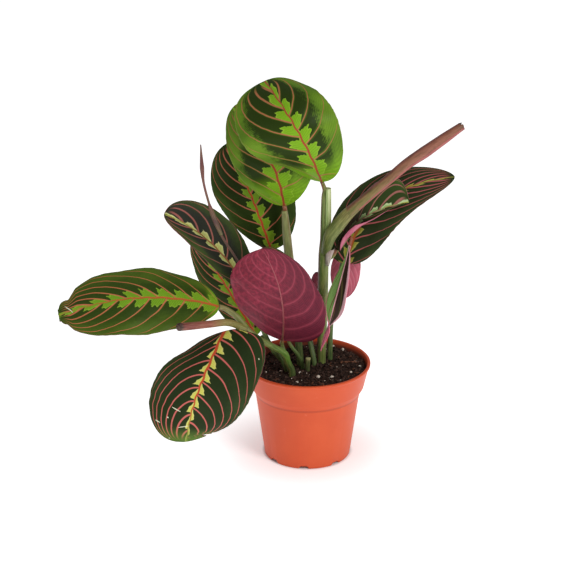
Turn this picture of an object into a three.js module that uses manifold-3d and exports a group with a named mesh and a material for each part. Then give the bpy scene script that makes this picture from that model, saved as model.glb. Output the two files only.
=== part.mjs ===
// Potted prayer plant (maranta): a nursery pot of peat with a leafy, leaning plant.
// Millimetres, +Z up. The origin is the middle of the pot's foot, on the surface it stands on.
// The plant's front, where the hanging leaf shows its face, looks towards -Y.

import * as THREE from 'three'
import { mergeVertices } from 'three/addons/utils/BufferGeometryUtils.js'
import Module from 'manifold-3d'

const wasm = await Module()
wasm.setup()

const plant = new THREE.Group()

// ---------------------------------------------------------------- driving sizes

const POT_HEIGHT = 94
const RIM_RADIUS = 60
const FOOT_RADIUS = 41.5
const WALL = 1.4
const BAND_TOP_RADIUS = 58.7      // just below the rolled lip
const BAND_LOW_RADIUS = 54        // lower edge of the rim band
const BAND_LOW_Z = 70.5
const BODY_TOP_RADIUS = 50.2      // under the band's chamfer
const BODY_TOP_Z = 64
const LIP = 1.6                   // height of the rolled lip's outer bulge
const FLOOR_LOW_Z = 3             // the floor is raised between foot and centre pad
const FLOOR_TOP_Z = 4.6
const FOOT_WIDTH = 3
const PAD_RADIUS = 14
const POT_SIDES = 56

const NOTCHES = 8                 // scallops in the foot
const NOTCH_WIDTH = 9
const NOTCH_HEIGHT = 2.6
const NOTCH_FIRST = 265           // degrees from +X, seen from above
const DRAINS = 6
const DRAIN_RADIUS = 4
const DRAIN_RING = 26

const SOIL_TOP_Z = 84
const SOIL_BUMP = 0.9
const SOIL_RISE = 4.5             // the soil is heaped up at the back right
const GAP = 0.3                   // clearance between pieces that touch on the plant
const HOLE_DEPTH = 24             // how far a stem stands in the soil
const STEM_FOOT_Z = SOIL_TOP_Z - HOLE_DEPTH
const TUBE_SIDES = 8

const BLADE = 0.7                 // leaf thickness
const RIDGE = 0.8                 // midrib below the blade

// ---------------------------------------------------------------- materials

const finish = (color, roughness) => new THREE.MeshStandardMaterial({ color, roughness, metalness: 0 })
const MATERIALS = {
  pot: finish('#d8613f', 0.5),
  soil: finish('#2f2119', 1),
  leaf: finish('#3f5f2d', 0.45),
  purple: finish('#7c2f45', 0.5),
  stem: finish('#6f8a45', 0.55),
  roll: finish('#9a6a55', 0.5),
}

// ---------------------------------------------------------------- helpers

const vec = (p) => new THREE.Vector3(p[0], p[1], p[2])
const radians = THREE.MathUtils.degToRad

function add(name, geometry, material) {
  geometry.computeVertexNormals()
  const mesh = new THREE.Mesh(geometry, material)
  mesh.name = name
  plant.add(mesh)
}

function geometryOf(points, triangles) {
  const geometry = new THREE.BufferGeometry()
  const flat = points.flatMap((p) => [p.x, p.y, p.z])
  geometry.setAttribute('position', new THREE.Float32BufferAttribute(flat, 3))
  geometry.setIndex(triangles)
  return geometry
}

function solidOf(geometry) {
  const bare = geometry.clone()
  bare.deleteAttribute('normal')
  bare.deleteAttribute('uv')
  const merged = mergeVertices(bare, 1e-4)
  return new wasm.Manifold(new wasm.Mesh({
    numProp: 3,
    vertProperties: new Float32Array(merged.attributes.position.array),
    triVerts: new Uint32Array(merged.index.array),
  }))
}

function geometryFrom(solid) {
  const mesh = solid.getMesh()
  const geometry = new THREE.BufferGeometry()
  geometry.setAttribute('position', new THREE.Float32BufferAttribute(mesh.vertProperties, 3))
  geometry.setIndex(Array.from(mesh.triVerts))
  return geometry
}

function turned(profile, sides) {
  // a lathed solid with its axis along Z; the profile is a list of [radius, z]
  const outline = profile.map(([r, z]) => new THREE.Vector2(r, z))
  const geometry = new THREE.LatheGeometry(outline, sides)
  geometry.rotateX(Math.PI / 2)
  return geometry
}

// ---------------------------------------------------------------- pot

function potSolid() {
  // one thin wall: from the centre pad out to the foot, up the outside, over the lip and down inside
  const inner = (r) => r - WALL
  const profile = [
    [0, 0],
    [PAD_RADIUS, 0],
    [PAD_RADIUS, FLOOR_LOW_Z],
    [FOOT_RADIUS - FOOT_WIDTH, FLOOR_LOW_Z],
    [FOOT_RADIUS - FOOT_WIDTH, 0],
    [FOOT_RADIUS, 0],
    [BODY_TOP_RADIUS, BODY_TOP_Z],
    [BAND_LOW_RADIUS, BAND_LOW_Z],
    [BAND_TOP_RADIUS, POT_HEIGHT - 2 * LIP],
    [RIM_RADIUS, POT_HEIGHT - LIP],
    [RIM_RADIUS, POT_HEIGHT - 0.6],
    [RIM_RADIUS - 0.6, POT_HEIGHT],
    [inner(BAND_TOP_RADIUS) + 0.8, POT_HEIGHT],
    [inner(BAND_TOP_RADIUS) + 0.3, POT_HEIGHT - 0.4],
    [inner(BAND_TOP_RADIUS), POT_HEIGHT - LIP],
    [inner(BAND_LOW_RADIUS), BAND_LOW_Z + 0.4],
    [inner(BODY_TOP_RADIUS), BODY_TOP_Z + 0.4],
    [inner(FOOT_RADIUS), FLOOR_TOP_Z],
    [0, FLOOR_TOP_Z],
  ]
  let pot = solidOf(turned(profile, POT_SIDES))
  for (let i = 0; i < NOTCHES; i++) {
    const notch = new THREE.BoxGeometry(2 * FOOT_WIDTH + 4, NOTCH_WIDTH, 2 * NOTCH_HEIGHT)
    notch.translate(FOOT_RADIUS, 0, 0)
    notch.rotateZ(radians(NOTCH_FIRST + 360 * i / NOTCHES))
    pot = pot.subtract(solidOf(notch))
  }
  for (let i = 0; i < DRAINS; i++) {
    const drain = new THREE.CylinderGeometry(DRAIN_RADIUS, DRAIN_RADIUS, 2 * FLOOR_TOP_Z, 12)
    drain.rotateX(Math.PI / 2)
    drain.translate(DRAIN_RING, 0, FLOOR_TOP_Z)
    drain.rotateZ(radians(360 * i / DRAINS))
    pot = pot.subtract(solidOf(drain))
  }
  return pot
}

// ---------------------------------------------------------------- leaves

// One row for each blade. base, middle and tip are points of the midrib, and the middle lies on it.
// face is where the upper side looks at the base, and faceTip at the tip. width, wide, cup, fold and
// blunt hold the left and the right half, seen from above with the tip ahead: half width, where along
// the midrib it is widest, how far, in degrees, the half is bent and folded up towards the face, and
// how pointed its ends are. wave is height, number and phase of the edge's waves, and cutTip the half
// width of a blade whose tip has been snipped off.
const LEAVES = {
  top: {
    base: [12, -8, 275], middle: [-10, -44, 331], tip: [-39, 2, 365],
    face: [-0.2, -0.9, 0.3], faceTip: [-0.25, -0.5, 0.9],
    width: [48, 39], wide: [0.68, 0.57], cup: [-25, -35], fold: [0, 0], wave: [1.6, 3, 0], blunt: [0.3, 0.42],
  },
  second: {
    base: [-22, 2, 249], middle: [-37, -12, 302], tip: [-67, 20, 338],
    face: [-0.15, -0.9, 0.35], faceTip: [-0.15, -0.9, 0.35],
    width: [34, 44], wide: [0.5, 0.55], cup: [-20, -15], fold: [0, 0], wave: [1.6, 2.5, 1], blunt: [0.42, 0.6],
  },
  back_left: {
    base: [-35, 24, 198], middle: [-52, 16, 252], tip: [-74, 36, 299],
    face: [-0.1, -0.95, 0.2], faceTip: [-0.1, -0.95, 0.2],
    width: [33, 38], wide: [0.62, 0.5], cup: [-15, -10], fold: [0, 0], wave: [1.5, 2.5, 2], blunt: [0.45, 0.45],
  },
  mid_left: {
    base: [-54, -12, 164], middle: [-86, -20, 217], tip: [-129, -36, 253],
    face: [-0.1, -0.9, 0.6], faceTip: [-0.1, -0.9, 0.6],
    width: [16, 27], wide: [0.55, 0.6], cup: [10, 20], fold: [15, 10], wave: [1.2, 2.5, 0], blunt: [0.5, 0.45],
  },
  low_left: {
    base: [-49, 0, 120.5], middle: [-79.5, 12, 170], tip: [-105, 14, 214],
    face: [-0.4, -0.8, 0.3], faceTip: [-0.4, -0.8, 0.3],
    width: [22.5, 31], wide: [0.48, 0.5], cup: [-10, -10], fold: [0, 0], wave: [1.5, 2.5, 3], blunt: [0.56, 0.5],
  },
  left: {
    base: [-82, -36, 164], middle: [-151, -60, 182], tip: [-223, -70, 169],
    face: [0, -0.6, 0.8], faceTip: [0, -0.6, 0.8],
    width: [36, 35], wide: [0.54, 0.5], cup: [-12, -15], fold: [0, 0], wave: [1.6, 3, 0], blunt: [0.5, 0.44],
    cutTip: 6.5,
  },
  front: {
    base: [-65, -44, 145], middle: [-96, -84, 108], tip: [-111, -86, 52],
    face: [-0.57, -0.85, 0.51], faceTip: [0.3, -0.85, 0.21],
    width: [46.5, 43], wide: [0.35, 0.61], cup: [3, -25], fold: [0, 0], wave: [1.6, 2.5, 0], blunt: [0.39, 0.47],
  },
  purple: {
    base: [-24, -10, 120], middle: [-25, -46, 180], tip: [-41, -66, 231],
    face: [0.15, 0.85, 0.3], faceTip: [0.3, 0.85, 0.3],
    width: [39, 48], wide: [0.29, 0.5], cup: [12, 8], fold: [0, 0], wave: [1.5, 2.5, 0], blunt: [0.5, 0.5],
  },
  right: {
    base: [36, 8, 190], middle: [67, 18, 246], tip: [136, 26, 269],
    face: [0, -0.85, 0.5], faceTip: [0, -0.85, 0.5],
    width: [26, 28], wide: [0.34, 0.38], cup: [10, 15], fold: [0, 0], wave: [1.2, 2.5, 2], blunt: [0.6, 0.6],
  },
  curl_right: {
    base: [25.8, -2, 208], middle: [49.5, 0, 237], tip: [92.5, 5, 251],
    face: [-0.2, -0.95, -0.1], faceTip: [-0.2, -0.95, -0.1],
    width: [29, 14], wide: [0.85, 0.3], cup: [10, 170], fold: [0, 10], wave: [0.6, 2, 0], blunt: [0.5, 0.8],
  },
  low_right: {
    base: [41, 30, 206], middle: [37, 30, 176], tip: [37, 28, 148],
    face: [0.1, 0.95, 0.2], faceTip: [0.1, 0.95, 0.2],
    width: [15, 13.5], wide: [0.55, 0.5], cup: [5, 5], fold: [0, 0], wave: [0.8, 2, 0], blunt: [0.5, 0.6],
  },
  folded: {
    base: [38, -9, 214], middle: [25, -18, 162], tip: [12, -22, 114],
    face: [-0.9, -1.8, 0], faceTip: [0.9, 0.5, 0],
    width: [10, 10], wide: [0.5, 0.57], cup: [40, 50], fold: [0, 0], wave: [0.6, 2, 0], blunt: [1, 1.4],
  },
  behind: {
    base: [-17, -6, 123], middle: [-22, -8, 168], tip: [-45, -14, 211],
    face: [0.1, -0.9, 0.4], faceTip: [0.1, -0.9, 0.4],
    width: [20, 19], wide: [0.5, 0.66], cup: [5, 5], fold: [0, 0], wave: [1, 2.5, 0], blunt: [0.5, 0.5],
  },
  small: {
    base: [2, 34, 112], middle: [7, 34, 143], tip: [9, 34, 172],
    face: [0.3, 0.9, 0.2], faceTip: [0.3, 0.9, 0.2],
    width: [8, 8], wide: [0.5, 0.5], cup: [40, 40], fold: [0, 0], wave: [0.5, 2, 0], blunt: [0.5, 0.5],
  },
}
const SMALL_LEAVES = ['low_right', 'folded', 'small']
const BASE_HALF = 1.4             // half width where the blade meets its stalk
const TIP_HALF = 0.5

function midrib(leaf, s) {
  // point and direction of the midrib, s from 0 at the base to 1 at the tip
  const base = vec(leaf.base)
  const tip = vec(leaf.tip)
  const bend = vec(leaf.middle).multiplyScalar(2).addScaledVector(base, -0.5).addScaledVector(tip, -0.5)
  const point = base.clone().multiplyScalar((1 - s) ** 2)
    .addScaledVector(bend, 2 * s * (1 - s)).addScaledVector(tip, s * s)
  const along = bend.clone().sub(base).multiplyScalar(1 - s).addScaledVector(tip.clone().sub(bend), s)
  return { point, along: along.normalize() }
}

function leafPoint(leaf, s, u) {
  // point of the blade's middle surface and its normal; u runs from -1 (left edge) to 1 (right edge)
  const { point, along } = midrib(leaf, s)
  const up = vec(leaf.face).lerp(vec(leaf.faceTip), s)
  up.addScaledVector(along, -up.dot(along)).normalize()
  const side = along.clone().cross(up)
  const half = u > 0 ? 1 : 0
  const sign = u > 0 ? 1 : -1
  const q = s ** (Math.log(0.5) / Math.log(leaf.wide[half]))
  const profile = Math.max(0, 4 * q * (1 - q)) ** leaf.blunt[half]
  const reach = Math.max(leaf.width[half] * profile, BASE_HALF * (1 - s) + (leaf.cutTip ?? TIP_HALF) * s)
  const bend = Math.max(Math.abs(radians(leaf.cup[half])), 1e-3) * Math.sign(leaf.cup[half] || 1)
  const turn = bend * reach / leaf.width[half]
  const radius = reach / turn
  const start = radians(leaf.fold[half])
  const end = start + Math.abs(u) * turn
  const out = radius * (Math.sin(end) - Math.sin(start))
  const [height, number, phase] = leaf.wave
  const ripple = Math.sin(2 * Math.PI * number * s + phase + (u > 0 ? 0 : 1.7))
  const lift = radius * (Math.cos(start) - Math.cos(end)) + height * u * u * profile * ripple
  point.addScaledVector(side, sign * out).addScaledVector(up, lift)
  const normal = up.multiplyScalar(Math.cos(end)).addScaledVector(side, -sign * Math.sin(end))
  return { point, normal }
}

function leafGeometry(leaf, across, rows) {
  // upper and lower sheet with the same diagonals, closed all round; across is even
  const points = []
  const triangles = []
  const columns = across + 1
  for (let i = 0; i <= rows; i++) {
    const s = (1 - Math.cos(Math.PI * i / rows)) / 2
    for (const below of [false, true]) {
      for (let j = 0; j < columns; j++) {
        const u = 2 * j / across - 1
        const { point, normal } = leafPoint(leaf, s, u)
        const ridge = j === across / 2 ? RIDGE * (1 - 0.6 * s) : 0
        points.push(point.addScaledVector(normal, below ? -BLADE / 2 - ridge : BLADE / 2))
      }
    }
  }
  const upper = (i, j) => 2 * columns * i + j
  const lower = (i, j) => 2 * columns * i + columns + j
  const quad = (a, b, c, d) => triangles.push(a, b, c, a, c, d)
  for (let i = 0; i < rows; i++) {
    for (let j = 0; j < across; j++) {
      quad(upper(i, j), upper(i, j + 1), upper(i + 1, j + 1), upper(i + 1, j))
      triangles.push(lower(i, j), lower(i + 1, j + 1), lower(i, j + 1))
      triangles.push(lower(i, j), lower(i + 1, j), lower(i + 1, j + 1))
    }
    quad(lower(i, 0), upper(i, 0), upper(i + 1, 0), lower(i + 1, 0))
    quad(upper(i, across), lower(i, across), lower(i + 1, across), upper(i + 1, across))
  }
  for (let j = 0; j < across; j++) {
    quad(lower(0, j), lower(0, j + 1), upper(0, j + 1), upper(0, j))
    quad(upper(rows, j), upper(rows, j + 1), lower(rows, j + 1), lower(rows, j))
  }
  return geometryOf(points, triangles)
}

// ---------------------------------------------------------------- stems

function tube(path, sides = TUBE_SIDES) {
  // a closed stalk through points [x, y, z, radius]; its ends are flat
  const curve = new THREE.CatmullRomCurve3(path.map(vec), false, 'centripetal')
  const steps = 3 * (path.length - 1)
  const points = []
  const triangles = []
  let side = null
  for (let i = 0; i <= steps; i++) {
    const t = i / steps
    const centre = curve.getPoint(t)
    const along = curve.getTangent(t)
    side = side ?? new THREE.Vector3(1, 0, 0)
    side = side.clone().addScaledVector(along, -side.dot(along)).normalize()
    const up = along.clone().cross(side)
    const k = Math.min(Math.floor(i / 3), path.length - 2)
    const radius = THREE.MathUtils.lerp(path[k][3], path[k + 1][3], i / 3 - k)
    for (let j = 0; j < sides; j++) {
      const a = 2 * Math.PI * j / sides
      points.push(centre.clone().addScaledVector(side, radius * Math.cos(a))
        .addScaledVector(up, radius * Math.sin(a)))
    }
  }
  for (let i = 0; i < steps; i++) {
    for (let j = 0; j < sides; j++) {
      const a = sides * i + j
      const b = sides * i + (j + 1) % sides
      triangles.push(a, b, b + sides, a, b + sides, a + sides)
    }
  }
  const last = sides * steps
  for (let j = 1; j < sides - 1; j++) {
    triangles.push(0, j + 1, j)
    triangles.push(last, last + j, last + j + 1)
  }
  return geometryOf(points, triangles)
}

const STRAIGHT = 7                // the last stretch of a stalk runs straight into its blade
const STALK_GAP = 0.4

function stalkTo(name, radius) {
  // the last two points of a stalk, in line with the midrib and a hair before the blade's base
  const { point, along } = midrib(LEAVES[name], 0)
  const end = point.clone().addScaledVector(along, -STALK_GAP)
  const before = point.clone().addScaledVector(along, -STRAIGHT)
  return [[before.x, before.y, before.z, radius], [end.x, end.y, end.z, radius]]
}

function rooted(x, y, radius) {
  // a stem's straight stretch in its hole in the soil
  return [[x, y, STEM_FOOT_Z, radius], [x, y, SOIL_TOP_Z - 2, radius], [x, y, SOIL_TOP_Z + 4, radius]]
}

// Where the stems stand in the soil: x, y and radius.
const ROOTS = {
  main: [13.5, 15, 4.1],
  second: [-7, 13, 3.4],
  back: [6.5, 11, 2.5],
  front: [-15, -10, 3.2],
  left: [-23, 8, 2.5],
  purple: [-21, -2, 1.9],
  behind: [-5, 5, 2],
  right: [22, 20, 2.5],
  stub: [0, -2, 2.3],
}

// The rolled new leaf, a long tapering scroll: x, y, z and radius. Its first stretch is straight.
const ROLL = [
  [23.3, -14.5, 229.8, 5.4], [27.4, -14.5, 235.5, 5.8], [35.9, -13, 245.6, 5.4], [51.2, -11, 259.2, 4.6],
  [71.8, -9, 276.6, 4.5], [88.9, -5, 290.4, 4.9], [105.1, -1, 300.5, 5.5],
  [123.1, 3, 312.4, 4.8], [138.1, 7, 322.1, 3.7],
]
const ROLL_ALONG = vec(ROLL[1]).sub(vec(ROLL[0])).normalize()
const ROLL_STALK = [STRAIGHT, STALK_GAP].map((back) =>
  [...vec(ROLL[0]).addScaledVector(ROLL_ALONG, -back).toArray(), 4.6])

// Each shoot is a list of stalks that have grown together.
const SHOOTS = {
  main: [
    [...rooted(...ROOTS.main), [14.2, 8, 153, 5], [14.4, -1, 203, 5], [16, -4, 218, 5],
      [16.4, -5, 240, 4.9], [16, -6, 260, 4.5], [15, -4, 266, 2.2], ...stalkTo('top', 1.9)],
    [[16, -4, 206, 4.4], ...ROLL_STALK],
    [[16, 0, 196, 2], ...stalkTo('curl_right', 1.7)],
    [[16, -1, 196, 1.6], [23, 2, 201, 1.5], [31, 1, 210, 1.4], [37, -1, 219, 1.3],
      ...stalkTo('folded', 1.2)],
  ],
  second: [
    [...rooted(...ROOTS.second), [-13, 8, 153, 3.6], [-17, 6, 190, 4], [-20, 4, 222, 4.2],
      [-21, 5, 236, 2.4], ...stalkTo('second', 2)],
  ],
  back: [
    [...rooted(...ROOTS.back), [-2, 25, 120, 2.6], [-20, 27, 160, 2.4], ...stalkTo('back_left', 2)],
    [[6, 13, 92, 2], [4, 24, 99, 1.8], ...stalkTo('small', 1.4)],
  ],
  front: [
    [...rooted(...ROOTS.front), [-18.5, -11.5, 97, 3], [-22, -14, 107.5, 3.4], [-34, -21, 118.5, 2.8],
      [-46, -30, 130, 2.7], [-58, -37, 143.5, 3.1]],
    [[-58, -37, 143.5, 3], ...stalkTo('front', 2)],
    [[-58, -37, 143.5, 3.1], [-65, -35, 153, 3], ...stalkTo('left', 2.4)],
    [[-58, -37, 143, 3.1], [-73.1, -51, 154.6, 3.3], [-88.5, -66, 159.3, 3.3],
      [-100.9, -81, 164, 3.4], [-113.8, -97, 169.3, 3.6]],
  ],
  left: [
    [...rooted(...ROOTS.left), [-32, 4, 102, 2.4], [-41, -3, 124, 2.3], ...stalkTo('mid_left', 2)],
    [[-34, 3, 106, 2.1], [-43, 0, 119, 2], ...stalkTo('low_left', 1.9)],
    [[-41, -4, 127, 1.3], [-47, -15, 157, 1.2], [-57.1, -25, 189.9, 1.1], [-67.5, -31, 212.4, 1.1],
      [-77, -36, 230.4, 1.2], [-84.5, -40, 250.7, 1.2], [-89.4, -41, 267.8, 1.1], [-93, -42, 284.7, 1.1],
      [-94, -42, 297.5, 2], [-94.8, -41, 318.5, 0.5]],
    [[-78.4, -36.8, 234, 1], [-82.2, -38.8, 244, 1.9], [-86.2, -40.3, 256, 1.9], [-89.4, -41, 267.8, 0.9]],
  ],
  purple: [
    [...rooted(...ROOTS.purple), [-22, -4, 104, 1.9], ...stalkTo('purple', 1.8)],
  ],
  behind: [
    [...rooted(...ROOTS.behind), [-8.5, 2, 98, 1.9], ...stalkTo('behind', 1.6)],
  ],
  right: [
    [...rooted(...ROOTS.right), [23, 20, 130, 2.4], [29, 14, 165, 2.3], ...stalkTo('right', 2.2)],
    [[26.5, 16, 152, 1.8], [32, 21, 185, 1.6], [36, 24, 208, 1.5], [39, 28, 216, 1.4],
      ...stalkTo('low_right', 1.3)],
  ],
  stub: [
    [...rooted(...ROOTS.stub), [0.5, -2, 98, 2.4]],
  ],
}

// ---------------------------------------------------------------- soil

function soilSolid() {
  // fills the pot with a hair's clearance; the top is crumbly and each stem has a plain hole
  const low = FLOOR_TOP_Z + GAP
  const bandRadius = BAND_LOW_RADIUS - WALL
  const bandTop = BAND_TOP_RADIUS - WALL
  const edge = THREE.MathUtils.mapLinear(SOIL_TOP_Z, BAND_LOW_Z, POT_HEIGHT - LIP, bandRadius, bandTop)
  const profile = [[0, SOIL_TOP_Z]]
  const rings = 6
  for (let i = 1; i <= rings; i++) {
    profile.push([(edge - 2 * GAP - 0.4) * i / rings, SOIL_TOP_Z])
  }
  profile.push([bandRadius - 2 * GAP, BAND_LOW_Z + 1.5])
  profile.push([BODY_TOP_RADIUS - WALL - 3 * GAP, BODY_TOP_Z - 1])
  profile.push([FOOT_RADIUS - WALL - 2 * GAP, low])
  profile.push([0, low])
  const geometry = turned(profile.reverse(), 36)
  const place = geometry.attributes.position
  for (let i = 0; i < place.count; i++) {
    if (place.getZ(i) < SOIL_TOP_Z - 1) continue
    const x = place.getX(i)
    const y = place.getY(i)
    const crumb = Math.sin(0.31 * x + 1.3) * Math.cos(0.27 * y) + 0.6 * Math.sin(0.5 * x - 0.43 * y)
    const heap = THREE.MathUtils.clamp((x + 0.5 * y - 5) / 40, 0, 1)
    place.setZ(i, SOIL_TOP_Z + SOIL_BUMP * crumb + SOIL_RISE * heap)
  }
  let soil = solidOf(geometry)
  for (const [x, y, radius] of Object.values(ROOTS)) {
    const hole = new THREE.CylinderGeometry(radius + GAP, radius + GAP, HOLE_DEPTH + 10, 14)
    hole.rotateX(Math.PI / 2)
    hole.translate(x, y, STEM_FOOT_Z - GAP + (HOLE_DEPTH + 10) / 2)
    soil = soil.subtract(solidOf(hole))
  }
  return soil
}

// ---------------------------------------------------------------- assembly

add('pot', geometryFrom(potSolid()), MATERIALS.pot)
add('soil', geometryFrom(soilSolid()), MATERIALS.soil)

for (const [name, leaf] of Object.entries(LEAVES)) {
  const small = SMALL_LEAVES.includes(name)
  const geometry = leafGeometry(leaf, small ? 6 : 10, small ? 10 : 14)
  add(`leaf_${name}`, geometry, name === 'purple' ? MATERIALS.purple : MATERIALS.leaf)
}

for (const [name, stalks] of Object.entries(SHOOTS)) {
  const solid = stalks.map((path) => solidOf(tube(path))).reduce((a, b) => a.add(b))
  add(`shoot_${name}`, geometryFrom(solid), MATERIALS.stem)
}

add('leaf_rolled', tube(ROLL, 10), MATERIALS.roll)

export default plant
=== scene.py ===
"""Potted prayer plant (maranta) in a plastic nursery pot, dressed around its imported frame."""

import math
import random

import bmesh
import bpy
from mathutils import Matrix, Vector, noise


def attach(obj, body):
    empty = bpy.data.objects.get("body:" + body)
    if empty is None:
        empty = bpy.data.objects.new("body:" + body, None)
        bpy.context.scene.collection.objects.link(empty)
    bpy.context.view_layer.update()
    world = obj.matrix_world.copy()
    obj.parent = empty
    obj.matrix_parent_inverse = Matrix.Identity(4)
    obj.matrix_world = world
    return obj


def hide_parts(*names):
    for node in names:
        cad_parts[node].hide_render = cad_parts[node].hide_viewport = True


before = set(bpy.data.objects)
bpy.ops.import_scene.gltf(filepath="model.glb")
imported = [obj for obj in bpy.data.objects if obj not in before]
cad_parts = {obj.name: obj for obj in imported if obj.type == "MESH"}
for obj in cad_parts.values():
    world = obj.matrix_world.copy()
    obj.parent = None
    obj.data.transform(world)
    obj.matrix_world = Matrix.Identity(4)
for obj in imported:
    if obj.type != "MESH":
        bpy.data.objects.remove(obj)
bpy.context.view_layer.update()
MM = 0.001


# ---------------------------------------------------------------- table, light and camera
# The plant stands on a white studio sweep under large soft lamps. The camera looks down on it
# a little, from about a metre and a quarter away.

class Field:
    """A value that varies over a surface: a shader socket that takes part in plain sums."""

    def __init__(self, socket):
        self.socket = socket

    def __add__(self, other):
        return calc("ADD", self, other)

    def __sub__(self, other):
        return calc("SUBTRACT", self, other)

    def __rsub__(self, other):
        return calc("SUBTRACT", other, self)

    def __mul__(self, other):
        return calc("MULTIPLY", self, other)

    def __truediv__(self, other):
        return calc("DIVIDE", self, other)

    def __rtruediv__(self, other):
        return calc("DIVIDE", other, self)

    def __pow__(self, other):
        return calc("POWER", self, other)

    def __abs__(self):
        return calc("ABSOLUTE", self)


def put(socket, value):
    """Sets a socket to a plain value, or links a field to it."""
    if isinstance(value, Field):
        socket.id_data.links.new(value.socket, socket)
    else:
        socket.default_value = value


def calc(operation, *values):
    """A Math node on fields and plain numbers."""
    tree = next(value for value in values if isinstance(value, Field)).socket.id_data
    node = tree.nodes.new("ShaderNodeMath")
    node.operation = operation
    for socket, value in zip(node.inputs, values):
        put(socket, value)
    return Field(node.outputs[0])


def fade(value, start, end, low=0.0, high=1.0):
    """Smooth step: low where value is under start, high where it is past end."""
    node = value.socket.id_data.nodes.new("ShaderNodeMapRange")
    node.interpolation_type = "SMOOTHSTEP"
    for socket, number in zip(node.inputs, (value, start, end, low, high)):
        put(socket, number)
    return Field(node.outputs[0])


def cloud(place, scale, detail=3.0, roughness=0.55):
    """Soft noise about 0.5."""
    node = place.socket.id_data.nodes.new("ShaderNodeTexNoise")
    settings = {"Vector": place, "Scale": scale, "Detail": detail, "Roughness": roughness}
    for label, value in settings.items():
        put(node.inputs[label], value)
    return Field(node.outputs["Fac"])


def split(vector):
    node = vector.socket.id_data.nodes.new("ShaderNodeSeparateXYZ")
    put(node.inputs[0], vector)
    return [Field(output) for output in node.outputs]


def new_material(name):
    material = bpy.data.materials.new(name)
    material.use_nodes = True
    return material, material.node_tree.nodes["Principled BSDF"]


def source(shader, kind, output):
    """An output of a new node of some kind, in a shader's material."""
    return Field(shader.id_data.nodes.new(kind).outputs[output])


def paint(red, green, blue):
    """A colour as seen on a screen, 0 to 255, as the linear values a shader takes."""
    def linear(value):
        value /= 255
        return value / 12.92 if value <= 0.04045 else ((value + 0.055) / 1.055) ** 2.4
    return (linear(red), linear(green), linear(blue), 1.0)


def object_from(bm, name, *materials):
    mesh = bpy.data.meshes.new(name)
    bm.to_mesh(mesh)
    bm.free()
    for material in materials:
        mesh.materials.append(material)
    for polygon in mesh.polygons:
        polygon.use_smooth = True
    piece = bpy.data.objects.new(name, mesh)
    bpy.context.scene.collection.objects.link(piece)
    return piece


SWEEP_SIZE = 6.0
WHITE = (1.0, 1.0, 1.0)
# The sweep glows white outside the pot's foot, its glow fading out towards the foot as a painted
# contact shadow round the pot: each glow from one radius to another, in metres, and its strength.
GLOWS = (0.0405, 0.045, 0.36), (0.04, 0.12, 0.38)

sweep_paint, shader = new_material("studio_sweep")
put(shader.inputs["Base Color"], paint(244, 244, 246))
put(shader.inputs["Emission Color"], (*WHITE, 1.0))
place = source(shader, "ShaderNodeTexCoord", "Object")
x, y, _ = split(place)
near, far = (fade((x * x + y * y) ** 0.5, start, end, 0.0, strength) for start, end, strength in GLOWS)
put(shader.inputs["Emission Strength"], near + far)
put(shader.inputs["Roughness"], fade(cloud(place, 3.0), 0.3, 0.7, 0.65, 0.8))

sweep_mesh = bmesh.new()
bmesh.ops.create_grid(sweep_mesh, x_segments=1, y_segments=1, size=SWEEP_SIZE / 2)
sweep = object_from(sweep_mesh, "studio_floor", sweep_paint)

world = bpy.data.worlds.new("studio")
world.use_nodes = True
world.node_tree.nodes["Background"].inputs["Color"].default_value = (*WHITE, 1.0)
world.node_tree.nodes["Background"].inputs["Strength"].default_value = 0.34
bpy.context.scene.world = world
bpy.context.scene.view_settings.view_transform = "Standard"


def soft_lamp(name, place, size, power, colour=WHITE):
    """A round lamp that shines on the middle of the plant."""
    data = bpy.data.lights.new(name, "AREA")
    data.shape = "DISK"
    data.size = size
    data.energy = power
    data.color = colour
    lamp = bpy.data.objects.new(name, data)
    lamp.location = place
    aim = Vector((0, 0, 0.15)) - Vector(place)
    lamp.rotation_mode = "QUATERNION"
    lamp.rotation_quaternion = aim.to_track_quat("-Z", "Y")
    bpy.context.scene.collection.objects.link(lamp)


soft_lamp("key_lamp", (0.9, -1.1, 1.3), 0.7, 15.0, (1.0, 0.98, 0.95))
soft_lamp("fill_lamp", (-1.2, -0.8, 0.8), 0.9, 3.0)

CAMERA_PLACE = (-0.0168, -1.2678, 0.6558)
CAMERA_DOWN = 21.10               # degrees below the horizon
camera_data = bpy.data.cameras.new("camera")
camera_data.lens = 90
camera_data.sensor_width = 36
camera = bpy.data.objects.new("camera", camera_data)
camera.location = CAMERA_PLACE
camera.rotation_euler = (math.radians(90 - CAMERA_DOWN), 0, 0)
bpy.context.scene.collection.objects.link(camera)
bpy.context.scene.camera = camera


# ---------------------------------------------------------------- pot
# A thin injection-moulded nursery pot of terracotta-orange plastic, with a rolled lip, a tapered
# band under it and a scalloped foot. Its base is raised between the foot and a middle pad.

POT_HEIGHT = 94
RIM_RADIUS = 60
FOOT_RADIUS, FOOT_WIDTH = 41.5, 2.2
WALL = 1.4
BAND_TOP = 58.7                   # radius just below the lip
BAND_LOW, BAND_LOW_Z = 54, 70.5
BODY_TOP, BODY_TOP_Z = 50.2, 64
FLOOR_LOW, FLOOR_TOP = 3, 4.6
PAD_RADIUS = 14
HOLES, HOLE_RING, HOLE_RADIUS = 6, 26, 4
POT_STEPS = 240
NOTCHES, NOTCH_FIRST = 8, 265     # scallops in the foot, and the first one's angle in degrees
NOTCH_HALF, NOTCH_SLOPE, NOTCH_HEIGHT = 5.6, 1.2, 2.6    # degrees, degrees and mm


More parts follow.
